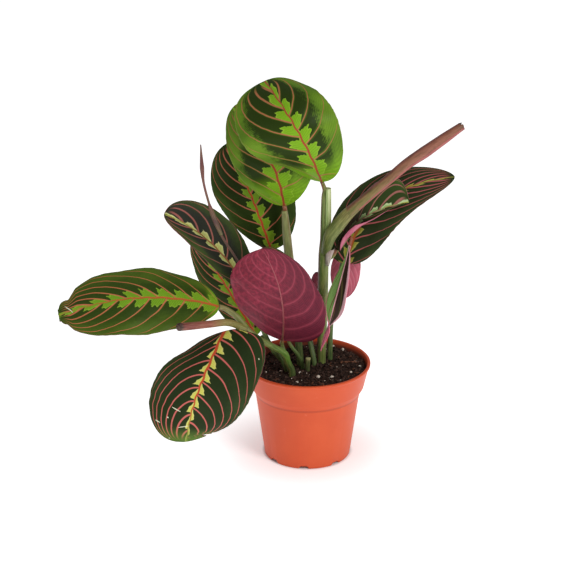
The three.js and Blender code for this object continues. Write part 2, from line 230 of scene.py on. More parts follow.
def turned(profile, steps):
    """A lathed bmesh round Z from a list of (radius, height) in millimetres."""
    bm = bmesh.new()
    points = [bm.verts.new((r * MM, 0, z * MM)) for r, z in profile]
    edges = [bm.edges.new(pair) for pair in zip(points, points[1:])]
    bmesh.ops.spin(bm, geom=points + edges, cent=(0, 0, 0), axis=(0, 0, 1),
                   angle=math.tau, steps=steps, use_merge=True)
    bmesh.ops.remove_doubles(bm, verts=bm.verts, dist=1e-6)
    bmesh.ops.recalc_face_normals(bm, faces=bm.faces)
    return bm


def rounded(corner, before, after, reach, steps=3):
    """Points that round a corner of a profile, reach millimetres along both of its sides."""
    corner, before, after = Vector(corner), Vector(before), Vector(after)
    start = corner + (before - corner).normalized() * reach
    end = corner + (after - corner).normalized() * reach
    shares = [i / steps for i in range(steps + 1)]
    return [tuple(start * (1 - t) ** 2 + corner * 2 * t * (1 - t) + end * t * t) for t in shares]


def pot_profile():
    # each corner with how far it is rounded; the floor has fine rings where the holes are cut
    floor_rings = range(HOLE_RING - HOLE_RADIUS - 2, HOLE_RING + HOLE_RADIUS + 3)
    foot_inside = FOOT_RADIUS - FOOT_WIDTH
    corners = [
        ((0, 0), 0), ((PAD_RADIUS, 0), 0.5), ((PAD_RADIUS, FLOOR_LOW), 0.4),
        *[((radius, FLOOR_LOW), 0) for radius in floor_rings],
        ((foot_inside, FLOOR_LOW), 0.4), ((foot_inside, 0), 0.5), ((FOOT_RADIUS, 0), 0.6),
        ((FOOT_RADIUS + 0.55, 4), 0), ((BODY_TOP, BODY_TOP_Z), 0.9), ((BAND_LOW, BAND_LOW_Z), 0.5),
        ((BAND_TOP, POT_HEIGHT - 3.2), 0.5), ((RIM_RADIUS, POT_HEIGHT - 2), 0.5),
        ((RIM_RADIUS, POT_HEIGHT), 0.8), ((BAND_TOP - WALL, POT_HEIGHT), 0.6),
        ((BAND_LOW - WALL, BAND_LOW_Z + 0.4), 1.2), ((BODY_TOP - WALL, BODY_TOP_Z + 0.4), 1.5),
        ((FOOT_RADIUS - WALL, FLOOR_TOP), 0.6),
        *[((radius, FLOOR_TOP), 0) for radius in reversed(floor_rings)], ((0, FLOOR_TOP), 0),
    ]
    profile = []
    for i, (corner, reach) in enumerate(corners):
        if reach:
            profile += rounded(corner, corners[i - 1][0], corners[i + 1][0], reach)
        else:
            profile.append(corner)
    return profile


def scallop_foot(bm):
    # the foot's lower edge rises in eight shallow, round-cornered notches
    for vert in bm.verts:
        radius = vert.co.xy.length / MM
        height = vert.co.z / MM
        if radius < FOOT_RADIUS - 4 or height > 2.4:
            continue
        angle = math.degrees(math.atan2(vert.co.y, vert.co.x)) - NOTCH_FIRST
        apart = abs((angle + 180 / NOTCHES) % (360 / NOTCHES) - 180 / NOTCHES)
        inside = min(1, max(0, (NOTCH_HALF + NOTCH_SLOPE - apart) / (2 * NOTCH_SLOPE)))
        lift = NOTCH_HEIGHT * inside * inside * (3 - 2 * inside)
        vert.co.z = max(vert.co.z, lift * MM + 0.25 * vert.co.z * (lift > 0.1))


def drain_holes(bm):
    # round holes through the floor, each cut out of the fine rings and closed by a wall
    for k in range(HOLES):
        turn = math.tau * k / HOLES
        centre = Vector((math.cos(turn), math.sin(turn))) * HOLE_RING * MM
        cut = [face for face in bm.faces if face.calc_center_median().z < 6 * MM
               and (face.calc_center_median().xy - centre).length < HOLE_RADIUS * MM]
        bmesh.ops.delete(bm, geom=cut, context="FACES")
        rim = [edge for edge in bm.edges if edge.is_boundary]
        for vert in {vert for edge in rim for vert in edge.verts}:
            vert.co.xy = centre + (vert.co.xy - centre).normalized() * HOLE_RADIUS * MM
        bmesh.ops.bridge_loops(bm, edges=rim)
    bmesh.ops.recalc_face_normals(bm, faces=bm.faces)


def blend(factor, first, second):
    """Two colours mixed, all first where factor is 0 and all second where it is 1."""
    node = factor.socket.id_data.nodes.new("ShaderNodeMix")
    node.data_type = "RGBA"
    put(node.inputs["Factor"], factor)
    put(node.inputs["A"], first)
    put(node.inputs["B"], second)
    return Field(node.outputs["Result"])


def band(value, rise, full, fall, end):
    """1 where value lies between full and fall, fading out to rise and to end."""
    return fade(value, rise, full) * fade(value, end, fall)


def bumped(shader, height, distance, strength):
    node = shader.id_data.nodes.new("ShaderNodeBump")
    for label, value in {"Strength": strength, "Distance": distance, "Height": height}.items():
        put(node.inputs[label], value)
    put(shader.inputs["Normal"], Field(node.outputs["Normal"]))


def pot_plastic():
    material, shader = new_material("terracotta_plastic")
    place = source(shader, "ShaderNodeTexCoord", "Object")
    x, y, z = split(place)
    height, radius = z / MM, (x * x + y * y) ** 0.5 / MM
    drift = cloud(place, 18, 4)
    body = blend(fade(drift, 0.35, 0.65), paint(206, 78, 36), paint(212, 86, 43))
    # the ledge under the band is scuffed most
    scuff = fade(cloud(place, 130, 6, 0.7), 0.60, 0.72)
    ledge = band(height, BODY_TOP_Z - 6, BODY_TOP_Z - 1, BODY_TOP_Z, BAND_LOW_Z)
    body = blend(scuff * (ledge * 0.5 + 0.12), body, paint(226, 140, 108))
    # painted shade darkens the wall inside, above the peat
    slant = (BAND_TOP - BAND_LOW) / (POT_HEIGHT - BAND_LOW_Z)
    middle_of_wall = BAND_LOW - slant * BAND_LOW_Z - WALL / 2
    inside = fade(radius - height * slant, middle_of_wall, middle_of_wall + 0.4, 1.0, 0.0)
    painted_inside_shade = inside * band(height, BAND_LOW_Z + 2, BAND_LOW_Z + 3.5, POT_HEIGHT - 5, POT_HEIGHT - 1.5)
    body = blend(painted_inside_shade * 0.8, body, paint(64, 40, 32))
    # painted shade: a thin dark line in the crease under the band
    painted_crease_shade = band(height, BODY_TOP_Z - 1.6, BODY_TOP_Z - 0.2, BODY_TOP_Z + 0.5, BODY_TOP_Z + 2.5)
    put(shader.inputs["Base Color"], blend(painted_crease_shade * 0.42, body, paint(142, 44, 18)))
    put(shader.inputs["Roughness"], fade(drift, 0.3, 0.7, 0.42, 0.52))
    put(shader.inputs["Specular IOR Level"], 0.34)
    bumped(shader, drift * 0.6 + cloud(place, 900, 2) * 0.12, 0.0004, 0.5)
    return material


def fitted(piece, node):
    """Hands a finished piece to the frame, in place of a plain one."""
    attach(piece, "root")
    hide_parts(node)


pot_mesh = turned(pot_profile(), POT_STEPS)
scallop_foot(pot_mesh)
drain_holes(pot_mesh)
fitted(object_from(pot_mesh, "nursery_pot", pot_plastic()), "pot")


# ---------------------------------------------------------------- peat
# Dark crumbly potting peat fills the pot to a centimetre under its rim. White perlite and a few
# slivers of reddish bark lie in it.

PEAT_TOP, PEAT_RISE = 84, 4.5     # heaped up at the back right
PEAT_EDGE, PEAT_LOW = 55.3, 5.2
PEAT_CLEAR = 0.6                  # between the peat and the pot's wall
PEAT_RINGS, PEAT_STEPS = 60, 200
CRUMBS, SMALL_PERLITE, SMALL_BARK = 1100, 46, 26
# The larger grains and slivers: x, y and radius, or x, y, length and degrees.
PERLITE = [(9.7, -17.5, 2), (35, 36, 1.8), (25.7, 47, 1.2), (-25.4, -3.7, 1.3), (-7.3, -6, 1.5),
           (23, -19.7, 1.6), (50, 1, 1.2), (41, -13, 1.1), (-42.8, 10.3, 1.2), (-39.7, -6, 1),
           (-10.2, -26.5, 1.1), (17.6, 41.7, 1.2)]
BARK = [(43, 10.3, 11, 10), (36, 8, 9, -8), (46, 13, 8, 65), (30, 22, 7, 70), (-30, -22, 6, 20),
        (12, -34, 7, -30)]


def new_group(name, inputs):
    """An empty shader group and its inputs as fields; an input with no number is a vector."""
    tree = bpy.data.node_groups.new(name, "ShaderNodeTree")
    for label, number in inputs.items():
        kind = "NodeSocketVector" if number is None else "NodeSocketFloat"
        socket = tree.interface.new_socket(label, in_out="INPUT", socket_type=kind)
        if number is not None:
            socket.default_value = number
    given = tree.nodes.new("NodeGroupInput").outputs
    return tree, {label: Field(given[label]) for label in inputs}


def give_out(tree, **fields):
    """Closes a group with its outputs, each a name and a field."""
    for label in fields:
        tree.interface.new_socket(label, in_out="OUTPUT", socket_type="NodeSocketFloat")
    out = tree.nodes.new("NodeGroupOutput").inputs
    for label, field in fields.items():
        put(out[label], field)
    return tree


def placed(shader, group, **settings):
    """Puts a group in a shader's material with its own values; gives its outputs as fields."""
    node = shader.id_data.nodes.new("ShaderNodeGroup")
    node.node_tree = group
    for label, value in settings.items():
        put(node.inputs[label.replace("_", " ").capitalize()], value)
    return {socket.name: Field(socket) for socket in node.outputs}


def crumbly_grain():
    tree, given = new_group("crumbly_grain", {"Place": None, "Scale": 400.0})
    grain = cloud(given["Place"], given["Scale"], 5, 0.7)
    return give_out(tree, Grain=grain, Light=fade(grain, 0.4, 0.68))


CRUMBLY = crumbly_grain()


def peat_paint(name, dark, light, scale):
    material, shader = new_material(name)
    place = source(shader, "ShaderNodeTexCoord", "Object")
    crumbly = placed(shader, CRUMBLY, place=place, scale=scale)
    put(shader.inputs["Base Color"], blend(crumbly["Light"], dark, light))
    put(shader.inputs["Roughness"], 0.95)
    put(shader.inputs["Specular IOR Level"], 0.15)
    bumped(shader, crumbly["Grain"], 0.0012, 0.9)
    return material


def peat_height(x, y):
    swell = math.sin(0.31 * x + 1.3) * math.cos(0.27 * y) + 0.6 * math.sin(0.5 * x - 0.43 * y)
    lumps = noise.noise(Vector((x / 5, y / 5, 1))) + 0.5 * noise.noise(Vector((x / 2, y / 2, 5)))
    mound = PEAT_RISE * min(1, max(0, (x + 0.5 * y - 5) / 40))
    return PEAT_TOP + mound + 0.9 * swell + 1.1 * lumps


peat_profile = [(PEAT_EDGE * i / PEAT_RINGS, PEAT_TOP) for i in range(PEAT_RINGS + 1)]
peat_profile += [(53.2, 75), (BODY_TOP - WALL - PEAT_CLEAR, BODY_TOP_Z - 1),
                 (FOOT_RADIUS - WALL - PEAT_CLEAR, PEAT_LOW), (0, PEAT_LOW)]
peat_mesh = turned(peat_profile, PEAT_STEPS)
for vert in peat_mesh.verts:
    if vert.co.z > (PEAT_TOP - 4) * MM:
        vert.co.z = peat_height(vert.co.x / MM, vert.co.y / MM) * MM
peat_brown = peat_paint("peat", paint(30, 19, 15), paint(72, 50, 40), 420)
fitted(object_from(peat_mesh, "peat", peat_brown), "soil")

dice = random.Random(7)
one_crumb = bpy.data.meshes.new("one_crumb")


def crumb(bm, x, y, size, sink=0.15):
    """Adds a lumpy grain to a bmesh, sunk into the peat by a share of its size."""
    lump = bmesh.new()
    bmesh.ops.create_icosphere(lump, subdivisions=2 if size > 0.9 else 1, radius=1)
    seed = dice.uniform(0, 90)
    stretch = Vector((dice.uniform(0.7, 1.4), dice.uniform(0.7, 1.3), 0.8 * dice.uniform(0.7, 1.2)))
    turn = Matrix.Rotation(dice.uniform(0, math.tau), 3, "Z")
    turn = turn @ Matrix.Rotation(dice.uniform(-0.5, 0.5), 3, "X")
    centre = Vector((x, y, peat_height(x, y) + size * (0.48 - sink)))
    for vert in lump.verts:
        bulge = 1 + 0.45 * noise.noise(vert.co * 1.4 + Vector((seed, 0, 0)))
        vert.co = (centre + turn @ (vert.co * stretch * size * bulge)) * MM
    lump.to_mesh(one_crumb)
    lump.free()
    bm.from_mesh(one_crumb)


def on_peat(margin):
    angle, radius = dice.uniform(0, math.tau), (PEAT_EDGE - margin) * math.sqrt(dice.random())
    return radius * math.cos(angle), radius * math.sin(angle)


crumb_mesh = bmesh.new()
for _ in range(CRUMBS):
    crumb(crumb_mesh, *on_peat(1.5), dice.uniform(0.45, 1.5) ** 1.3)
crumb_brown = peat_paint("peat_crumbs", paint(32, 23, 21), paint(98, 74, 64), 300)
fitted(object_from(crumb_mesh, "peat_crumbs", crumb_brown), "soil")

perlite_white, shader = new_material("perlite")
grain = cloud(source(shader, "ShaderNodeTexCoord", "Object"), 700, 3)
put(shader.inputs["Base Color"], blend(grain, paint(190, 172, 150), paint(246, 238, 226)))
put(shader.inputs["Roughness"], 0.9)
perlite_mesh = bmesh.new()
for x, y, size in PERLITE:
    crumb(perlite_mesh, x, y, size, -0.1)
for _ in range(SMALL_PERLITE):
    crumb(perlite_mesh, *on_peat(3), dice.uniform(0.35, 0.8), -0.1)
fitted(object_from(perlite_mesh, "perlite", perlite_white), "soil")

small_bark = [(*on_peat(6), dice.uniform(2, 5), dice.uniform(0, 180)) for _ in range(SMALL_BARK)]
bark_mesh = bmesh.new()
for x, y, length, degrees in BARK + small_bark:
    sliver = bmesh.ops.create_cube(bark_mesh, size=1)["verts"]
    turn = Matrix.Rotation(math.radians(degrees), 3, "Z")
    turn = turn @ Matrix.Rotation(dice.uniform(-0.2, 0.2), 3, "Y")
    for vert in sliver:
        shape = Vector((vert.co.x * length, vert.co.y * (1.7 - abs(vert.co.x)), vert.co.z * 0.9))
        vert.co = (Vector((x, y, peat_height(x, y) + 0.9)) + turn @ shape) * MM
bark_brown = peat_paint("bark", paint(78, 50, 38), paint(140, 94, 72), 500)
fitted(object_from(bark_mesh, "bark_slivers", bark_brown), "soil")


# ---------------------------------------------------------------- leaf markings
# The marks every blade of this plant wears: a midrib, side veins that arch to the margin, a toothed
# pale feather along the midrib and dark fields between the veins. Each leaf colours them its own way.

# What one leaf's marks can be given: each with its usual value.
MARKS = {
    "Place": None,
    "Length": 110.0,        # of the blade, mm
    "Half width": 40.0,     # mm
    "Veins": 9.0,           # on each side
    "Start": 0.04,          # how the first side veins lean to the tip
    "Left start": 0.0,      # added to it on the left half
    "Lean": 0.3,            # how much more each next one does
    "Left lean": 0.0,       # added to it on the left half
    "Bow": 1.0,             # above 1 they set out straight and bend late
    "Vein width": 1.3,      # mm
    "Feather": 9.0,         # length of its lobes, mm
    "Fill": 0.2,            # how far the feather reaches between two lobes, as a share
    "Plump": 1.0,           # 0 for lobes like thorns, 1 for broad square ones
    "Teeth": 0.2,           # depth of the small teeth on each lobe
    "Seed": 0.0,
}


def feather_length(given, along, lobes, ragged):
    """How far the feather reaches from the midrib, in mm; lobes counts them along the blade."""
    # a lobe widens from one side vein on, is longest towards the next and cut off before it
    step_in = calc("FRACT", lobes)
    rise = step_in / (0.78 - given["Plump"] * 0.4)
    drop = ((ragged - 0.5) * 0.25 + 0.88 - step_in) / 0.12
    peak = calc("MINIMUM", calc("MINIMUM", rise, drop), 1.0)
    peak = calc("MAXIMUM", peak, 0.001) ** 0.8
    teeth = calc("PINGPONG", step_in * 3.0 + 0.1, 0.5) + ragged - 0.75
    fill = given["Fill"] * fade(along, 0.1, 0.8, 1.5, 0.4)
    lobe = fill + peak * (1.0 - fill) + teeth * given["Teeth"] * (peak + 0.15)
    return lobe * given["Feather"] * fade(along, 0.45, 1.0, 1.0, 0.25)


def leaf_pattern():
    """Masks of a blade's marks from its UV map: x runs from base to tip, y from edge to edge."""
    tree, given = new_group("prayer_leaf_pattern", MARKS)
    x, y, _ = split(given["Place"])
    seeded = tree.nodes.new("ShaderNodeCombineXYZ")
    for socket, value in zip(seeded.inputs, (x, y, given["Seed"])):
        put(socket, value)
    drift = cloud(Field(seeded.outputs[0]), 3.0, 1.0)
    ragged = cloud(Field(seeded.outputs[0]), 26.0, 3.0, 0.6)
    along = x + (drift - 0.5) * 0.05
    flat = y * 2.0 - 1.0
    zigzag = calc("SINE", along * given["Veins"] * math.tau) * fade(abs(flat), 0.02, 0.14, 0.011, 0.0)
    side = flat - zigzag
    across = abs(side)
    right = calc("GREATER_THAN", side, 0.0)
    left = 1.0 - right

    # a side vein starts at `origin` on the midrib and drifts to the tip as it nears the margin
    out = calc("MAXIMUM", across, 0.001)
    bowed = out ** given["Bow"]
    rest = 1.0 - bowed * 0.95
    arch = calc("LOGARITHM", rest, math.e) * -1.0
    start = given["Start"] + given["Left start"] * left
    lean = given["Lean"] + given["Left lean"] * left
    spread = lean * arch + 1.0
    origin = (along - arch * start) / spread
    shift = right * 0.5 + given["Seed"]
    turn = origin * given["Veins"] + shift
    gap = 0.5 - abs(calc("FRACT", turn) - 0.5)

    # the same gap in millimetres, from how fast `origin` changes along and across the blade
    reach = given["Half width"] * calc("MAXIMUM", x * (1.0 - x) * 4.0, 0.02) ** 0.5
    steep = bowed * given["Bow"] * 0.95 / out
    slope = (start + lean * origin) * steep / (rest * reach)
    step = 1.0 / given["Length"]
    gap_mm = gap / ((slope * slope + step * step) ** 0.5 * given["Veins"] / spread)
    out_mm = across * reach
    width = given["Vein width"] * fade(across, 0.05, 0.95, 0.55, 0.22)
    vein = (1.0 - fade(gap_mm / width, 0.65, 1.35)) * fade(across, 0.9, 0.985, 1.0, 0.0)
    midrib = 1.0 - fade(out_mm / (given["Vein width"] * fade(x, 0.0, 1.0, 1.15, 0.35)), 0.7, 1.2)

    lobes = (along + origin) * (given["Veins"] * 0.5) + shift
    within = feather_length(given, x, lobes, ragged) - out_mm

    threads = calc("SINE", turn * (math.tau * 8) + ragged * 7.0)
    relief = calc("MAXIMUM", gap, 0.001) ** 0.6 + threads * 0.02 - midrib * 0.5 + ragged * 0.06
    return give_out(tree, Vein=vein * fade(x, 0.93, 0.99, 1.0, 0.0), Midrib=midrib,
                    Feather=fade(within, -0.25, 0.45), Rim=fade(within, 0.3, 1.5, 1.0, 0.0),
                    Between=gap * 2.0, Across=across, Along=x, Side=side, Drift=drift,
                    Ragged=ragged, Threads=threads, Relief=relief)


PATTERN = leaf_pattern()


def marked_material(name, leaf, look):
    material, shader = new_material(name)
    marks = placed(shader, PATTERN, place=source(shader, "ShaderNodeUVMap", "UV"),
                   length=leaf["length"], half_width=sum(leaf["width"]) / 2, **look["marks"])
    return material, shader, marks


def dark_fields(marks, look):
    """Mask of a blade's dark fields: raggedly ended, and fainter beside the veins."""
    left_end, right_end = look["field_end"]
    reach = marks["Across"] + (marks["Drift"] - 0.5) * 0.5 + (marks["Ragged"] - 0.5) * 0.35
    reach = reach + marks["Threads"] * 0.045
    reach = reach + calc("GREATER_THAN", marks["Side"], 0.0) * (left_end - right_end)
    inner = fade(reach, left_end - look["soft"], left_end + look["soft"], 1.0, 0.0)
    if "field_tip" in look:
        inner = inner * fade(marks["Along"], *look["field_tip"], 1.0, 0.0)
    return inner * fade(marks["Between"], 0.06, 0.3, look["beside"], 1.0)


def upper_face(name, leaf, look):
    """A blade's upper side; look holds its colours and the sizes of its marks."""
    material, shader, marks = marked_material(name, leaf, look)
    along, threads, drift = marks["Along"], marks["Threads"], marks["Drift"]
    colour = blend(fade(drift, 0.3, 0.7), look["edge"], look["edge_light"])
    colour = blend(dark_fields(marks, look), colour, look["field"])
    pale_base = fade(along, look["base_end"] * 0.4, look["base_end"] * 1.3, 1.0, 0.0)
    colour = blend(pale_base * 0.85, colour, look["feather"])
    colour = blend(fade(threads, -1.0, 1.0, 0.0, 0.22), colour, look["field"])

    # the feather, combed with fine darker lines and rimmed
    down = blend(fade(threads, -0.4, 0.8, 0.0, look["comb"]), look["feather"], look["edge"])
    down = blend(marks["Rim"] * 0.55, down, look["rim"])
    colour = blend(marks["Feather"], colour, down)

    # margin, veins and midrib
    hem_start, hem_end, hem_depth = look["hem_band"]
    hem = fade(marks["Across"], hem_start, hem_end, 0.0, hem_depth)
    if look["one_hem"]:
        hem = hem * calc("LESS_THAN", marks["Side"], 0.0)
    colour = blend(hem, colour, look["hem"])
    colour = blend(marks["Vein"], colour, look["vein"])
    rib = blend(fade(along, 0.6, 1.0), look["rib"], look["rib_tip"])
    colour = blend(marks["Midrib"], colour, rib)
    # painted shade: the curled leaf is darkened towards its base, inside the curl; on the front leaf the same
    # step gives a lighter green tip
    if "shade" in look:
        start, end, depth, tone = look["shade"]
        colour = blend(fade(along, start, end, depth, 0.0), colour, tone)
    put(shader.inputs["Base Color"], colour)
    put(shader.inputs["Roughness"], fade(drift, 0.2, 0.8, 0.40, 0.5))
    put(shader.inputs["Specular IOR Level"], look["gloss"])
    bumped(shader, marks["Relief"], 0.0011, 0.55)
    return material


def under_face(name, leaf, look):
    """A blade's lower side: rose to wine red with raised, slightly paler veins."""
    material, shader, marks = marked_material(name, leaf, look)
    colour = blend(fade(marks["Drift"], 0.3, 0.7), look["under"], look["under_light"])
    # painted shade, darkest at the base and along the blade's edge at u = -1, fading to the tip and the other
    # edge
    dim = fade(marks["Side"] + marks["Along"], -0.5, 1.2, look["dim"], 0.0)
    mottled = fade(marks["Ragged"], 0.35, 0.7, look["mottle"], 0.0)
    for mask in (dim, mottled):
        colour = blend(mask, colour, look["under_dim"])
    streaks = fade(marks["Threads"], -1.0, 1.0, 0.0, 0.16)
    beside = fade(marks["Between"], 0.0, 0.4, 0.3, 0.0)
    for mask in (streaks, beside, marks["Vein"] * 0.45, marks["Midrib"] * 0.7):
        colour = blend(mask, colour, look["under_vein"])
    put(shader.inputs["Base Color"], colour)
    put(shader.inputs["Roughness"], 0.55)
    put(shader.inputs["Specular IOR Level"], 0.18)
    bumped(shader, marks["Relief"], 0.0009, 0.5)
    return material


def unit(vector):
    return vector.normalized()


def midrib(leaf, s):
    """Point and direction of a blade's midrib in mm; s is 0 at the base, 1 at the tip."""
    base, middle, tip = (Vector(leaf[key]) for key in ("base", "middle", "tip"))
    bend = middle * 2 - (base + tip) / 2
    point = base * (1 - s) ** 2 + bend * 2 * s * (1 - s) + tip * s * s
    return point, unit((bend - base) * (1 - s) + (tip - bend) * s)


def half_width(leaf, s, half):
    """A half's width in mm at s, and its outline's height there as a share of the highest."""
    s = min(max(s, 0.0), 1.0)
    q = s ** (math.log(0.5) / math.log(leaf["wide"][half]))
    profile = max(0.0, 4 * q * (1 - q)) ** leaf["blunt"][half]
    reach = leaf["width"][half] * profile
    for torn_half, place, spread, depth in leaf.get("torn", ()):
        if torn_half == half:
            reach *= 1 - depth * max(0, 1 - abs(s - place) / spread)
    reach *= 1 + 0.014 * noise.noise(Vector((24 * s, 5 * half, leaf["wave"][2])))
    return max(reach, 1.4 * (1 - s) + leaf.get("cut_tip", 0.5) * s), profile


def leaf_frame(leaf, s):
    point, along = midrib(leaf, s)
    up = Vector(leaf["face"]).lerp(Vector(leaf.get("face_tip", leaf["face"])), s)
    up = unit(up - along * up.dot(along))
    return point, along, up, along.cross(up)


def leaf_point(leaf, s, u):
    """Point of a blade's middle surface in mm; u runs from -1, its left edge, to 1."""
    point, along, up, side = leaf_frame(leaf, s)
    half, sign = (1, 1) if u > 0 else (0, -1)
    reach, profile = half_width(leaf, s, half)
    bend = math.radians(leaf["cup"][half])
    turn = bend * reach / leaf["width"][half]
    radius = leaf["width"][half] / bend
    start = math.radians(leaf.get("fold", (0, 0))[half])
    end = start + abs(u) * turn
    height, number, phase = leaf["wave"]
    ripple = math.sin(math.tau * number * s + phase + (0 if u > 0 else 1.7))
    lift = radius * (math.cos(start) - math.cos(end)) + height * u * u * profile * ripple
    lift += 0.5 * noise.noise(Vector((6 * s, 3 * u, phase))) * min(1, 4 * profile)
    return point + side * (sign * radius * (math.sin(end) - math.sin(start))) + up * lift


def marks_across(leaf, s, u):
    """The u its marks take, where a blade's visible midrib sways off the middle of its base."""
    sway = leaf.get("sway", 0) * (1 - s) ** 4
    if not sway:
        return u
    out = u * half_width(leaf, s, 1 if u > 0 else 0)[0] - sway
    limit = max(half_width(leaf, s, 1 if out > 0 else 0)[0] - math.copysign(sway, out), 0.5)
    return max(-1.0, min(1.0, out / limit))


BLADE = 0.7                       # a leaf's thickness, mm
leaves = {}


def blade(name, leaf, look, rows=150, columns=72):
    """Makes one leaf: a thin curved sheet with its two faces."""
    leaves[name] = leaf
    steps = [midrib(leaf, i / 30)[0] for i in range(31)]
    leaf["length"] = sum((b - a).length for a, b in zip(steps, steps[1:]))
    bm = bmesh.new()
    marks = bm.loops.layers.uv.new("marks")
    bmesh.ops.create_grid(bm, x_segments=rows, y_segments=columns, size=0.5)
    place = {}
    for vert in bm.verts:
        s = (1 - math.cos(math.pi * (vert.co.x + 0.5))) / 2
        u = -2 * vert.co.y
        place[vert] = (s, marks_across(leaf, s, u) / 2 + 0.5)
        vert.co = leaf_point(leaf, s, u) * MM
    for face in bm.faces:
        for loop in face.loops:
            loop[marks].uv = place[loop.vert]
    faces = upper_face(name + "_upper", leaf, look), under_face(name + "_under", leaf, look)
    piece = object_from(bm, name + "_blade", *faces)
    sheet = piece.modifiers.new("thickness", "SOLIDIFY")
    sheet.thickness = BLADE * MM
    sheet.offset = 0
    sheet.material_offset = 1
    sheet.material_offset_rim = 1
    fitted(piece, name)


# ---------------------------------------------------------------- upper leaves
# The young leaves on top are the brightest: mid green with near-black fields, a broad toothed
# lime feather and brick-red veins. Each stands on its stalk and looks forward.

BRIGHT = dict(
    slot="leaf_green", gloss=0.1, comb=0.4, dim=0.0, mottle=0.0,
    soft=0.1,                     # how softly the dark fields end, as a share of the half width
    hem_band=(0.972, 0.99, 0.5), one_hem=False,
    edge=paint(84, 118, 30), edge_light=paint(110, 146, 38), field=paint(38, 55, 10),
    field_end=(0.7, 0.58), beside=0.6, base_end=0.17, feather=paint(122, 170, 30),
    rim=paint(160, 194, 66),
    vein=paint(168, 104, 70), rib=paint(158, 70, 44), rib_tip=paint(160, 86, 52),
    hem=paint(140, 150, 70), under=paint(118, 42, 62), under_light=paint(134, 54, 76),
    under_vein=paint(160, 78, 92), under_dim=paint(82, 24, 42),
    marks=dict(veins=6.9, start=-0.04, left_start=0.17, lean=0.52, vein_width=1.15,
               feather=12, fill=0.18, plump=0.9, teeth=0.35),
)

# A leaf's shape, in mm and degrees, its left half first: three points of its midrib, where its face
# looks, each half's width, the share of the length where that is widest, its bend across, the edge's
# waves (height, number and phase) and how blunt its outline is.
TOP = dict(
    base=(12, -8, 275), middle=(-10, -44, 331), tip=(-39, 2, 365),
    face=(-0.2, -0.9, 0.3), face_tip=(-0.25, -0.5, 0.9),
    width=(48, 39), wide=(0.68, 0.57), cup=(-25, -35), wave=(1.6, 3, 0),
    blunt=(0.3, 0.42),
)
SECOND = dict(
    base=(-22, 2, 249), middle=(-37, -12, 302), tip=(-67, 20, 338),
    face=(-0.15, -0.9, 0.35),
    width=(34, 44), wide=(0.5, 0.55), cup=(-20, -15), wave=(1.6, 2.5, 1),
    blunt=(0.42, 0.6),
)
blade("leaf_top", TOP, BRIGHT)
blade("leaf_second", SECOND, BRIGHT | dict(
    field_end=(0.7, 0.4), field_tip=(0.58, 0.8), base_end=0.26,
    marks=BRIGHT["marks"] | dict(seed=0.35),
))


# ---------------------------------------------------------------- left and front leaves
# Two old leaves hang over the pot's edge: an olive one reaching out to the left, and a blackish
# one below it with salmon veins and small cream lobes along its orange-red midrib.

OLIVE = BRIGHT | dict(
    edge=paint(70, 92, 24), edge_light=paint(82, 106, 30), field=paint(48, 68, 18), soft=0.3,
    field_end=(0.62, 0.62), beside=0.4, base_end=0.07, feather=paint(122, 168, 38),
    vein=paint(194, 110, 76), rib=paint(186, 100, 48), rib_tip=paint(150, 140, 52),
    hem=paint(110, 126, 56),
    marks=dict(veins=9.4, start=0.1, left_start=-0.05, lean=0.52, left_lean=-0.12, bow=1.05,
               vein_width=1.1, feather=9.5, fill=0.3, plump=0.7, teeth=0.4),
)
DARK = BRIGHT | dict(
    edge=paint(44, 62, 30), edge_light=paint(54, 72, 38), field=paint(37, 50, 24), soft=0.3,
    field_end=(0.75, 0.75), beside=0.6, base_end=0.0, feather=paint(206, 206, 98),
    comb=0.1, rim=paint(226, 222, 140), gloss=0.08, vein=paint(204, 104, 98),
    rib=paint(196, 80, 48), rib_tip=paint(150, 156, 60), hem=paint(80, 92, 52),
    marks=dict(veins=8.4, start=0.25, left_start=-0.1, lean=0.7, left_lean=-0.42, bow=1.7,
               vein_width=1.3, feather=7.5, fill=-0.1, plump=0.0, teeth=0.3),
)

LEFT = dict(
    base=(-82, -36, 164), middle=(-151, -60, 182), tip=(-223, -70, 169),
    face=(0, -0.6, 0.8),
    width=(36, 35), wide=(0.54, 0.5), cup=(-12, -15), wave=(1.6, 3, 0),
    blunt=(0.5, 0.44), cut_tip=6.5, torn=((1, 0.93, 0.05, 0.3), (0, 0.96, 0.03, 0.2)),
)
FRONT = dict(
    base=(-65, -44, 145), middle=(-96, -84, 108), tip=(-111, -86, 52),
    face=(-0.57, -0.85, 0.51), face_tip=(0.3, -0.85, 0.21), sway=14,
    torn=((0, 0.95, 0.014, 0.4), (0, 0.925, 0.01, 0.12), (1, 0.3, 0.2, 0.07)),
    width=(46.5, 43), wide=(0.35, 0.61), cup=(3, -25), wave=(1.6, 2.5, 0),
    blunt=(0.39, 0.47),
)
blade("leaf_left", LEFT, OLIVE)
blade("leaf_front", FRONT, DARK | dict(shade=(1.0, 0.86, 0.75, paint(98, 130, 50))))


def scratches(node, leaf, lines):
    """Pale dry scratches in a blade's skin, each from one (s, u) to another, with its width in mm."""
    bm = bmesh.new()
    for s0, u0, s1, u1, width in lines:
        first, last, beside = (leaf_point(leaf, *spot) for spot in ((s0, u0), (s1, u1), (s0 + 0.03, u0)))
        reach = last - first
        up = unit(reach.cross(beside - first))
        if up.dot(leaf_frame(leaf, s0)[2]) < 0:
            up = -up
        side = unit(reach.cross(up))
        for vert in bmesh.ops.create_grid(bm, x_segments=8, y_segments=1, size=0.5)["verts"]:
            t = vert.co.x + 0.5
            spot = leaf_point(leaf, s0 + (s1 - s0) * t, u0 + (u1 - u0) * t)
            spread = vert.co.y * width * math.sin(math.pi * min(0.95, max(0.05, t))) ** 0.5
            vert.co = (spot + up * 0.42 + side * spread) * MM
    fitted(object_from(bm, node + "_scratches", scratch_paint), node)


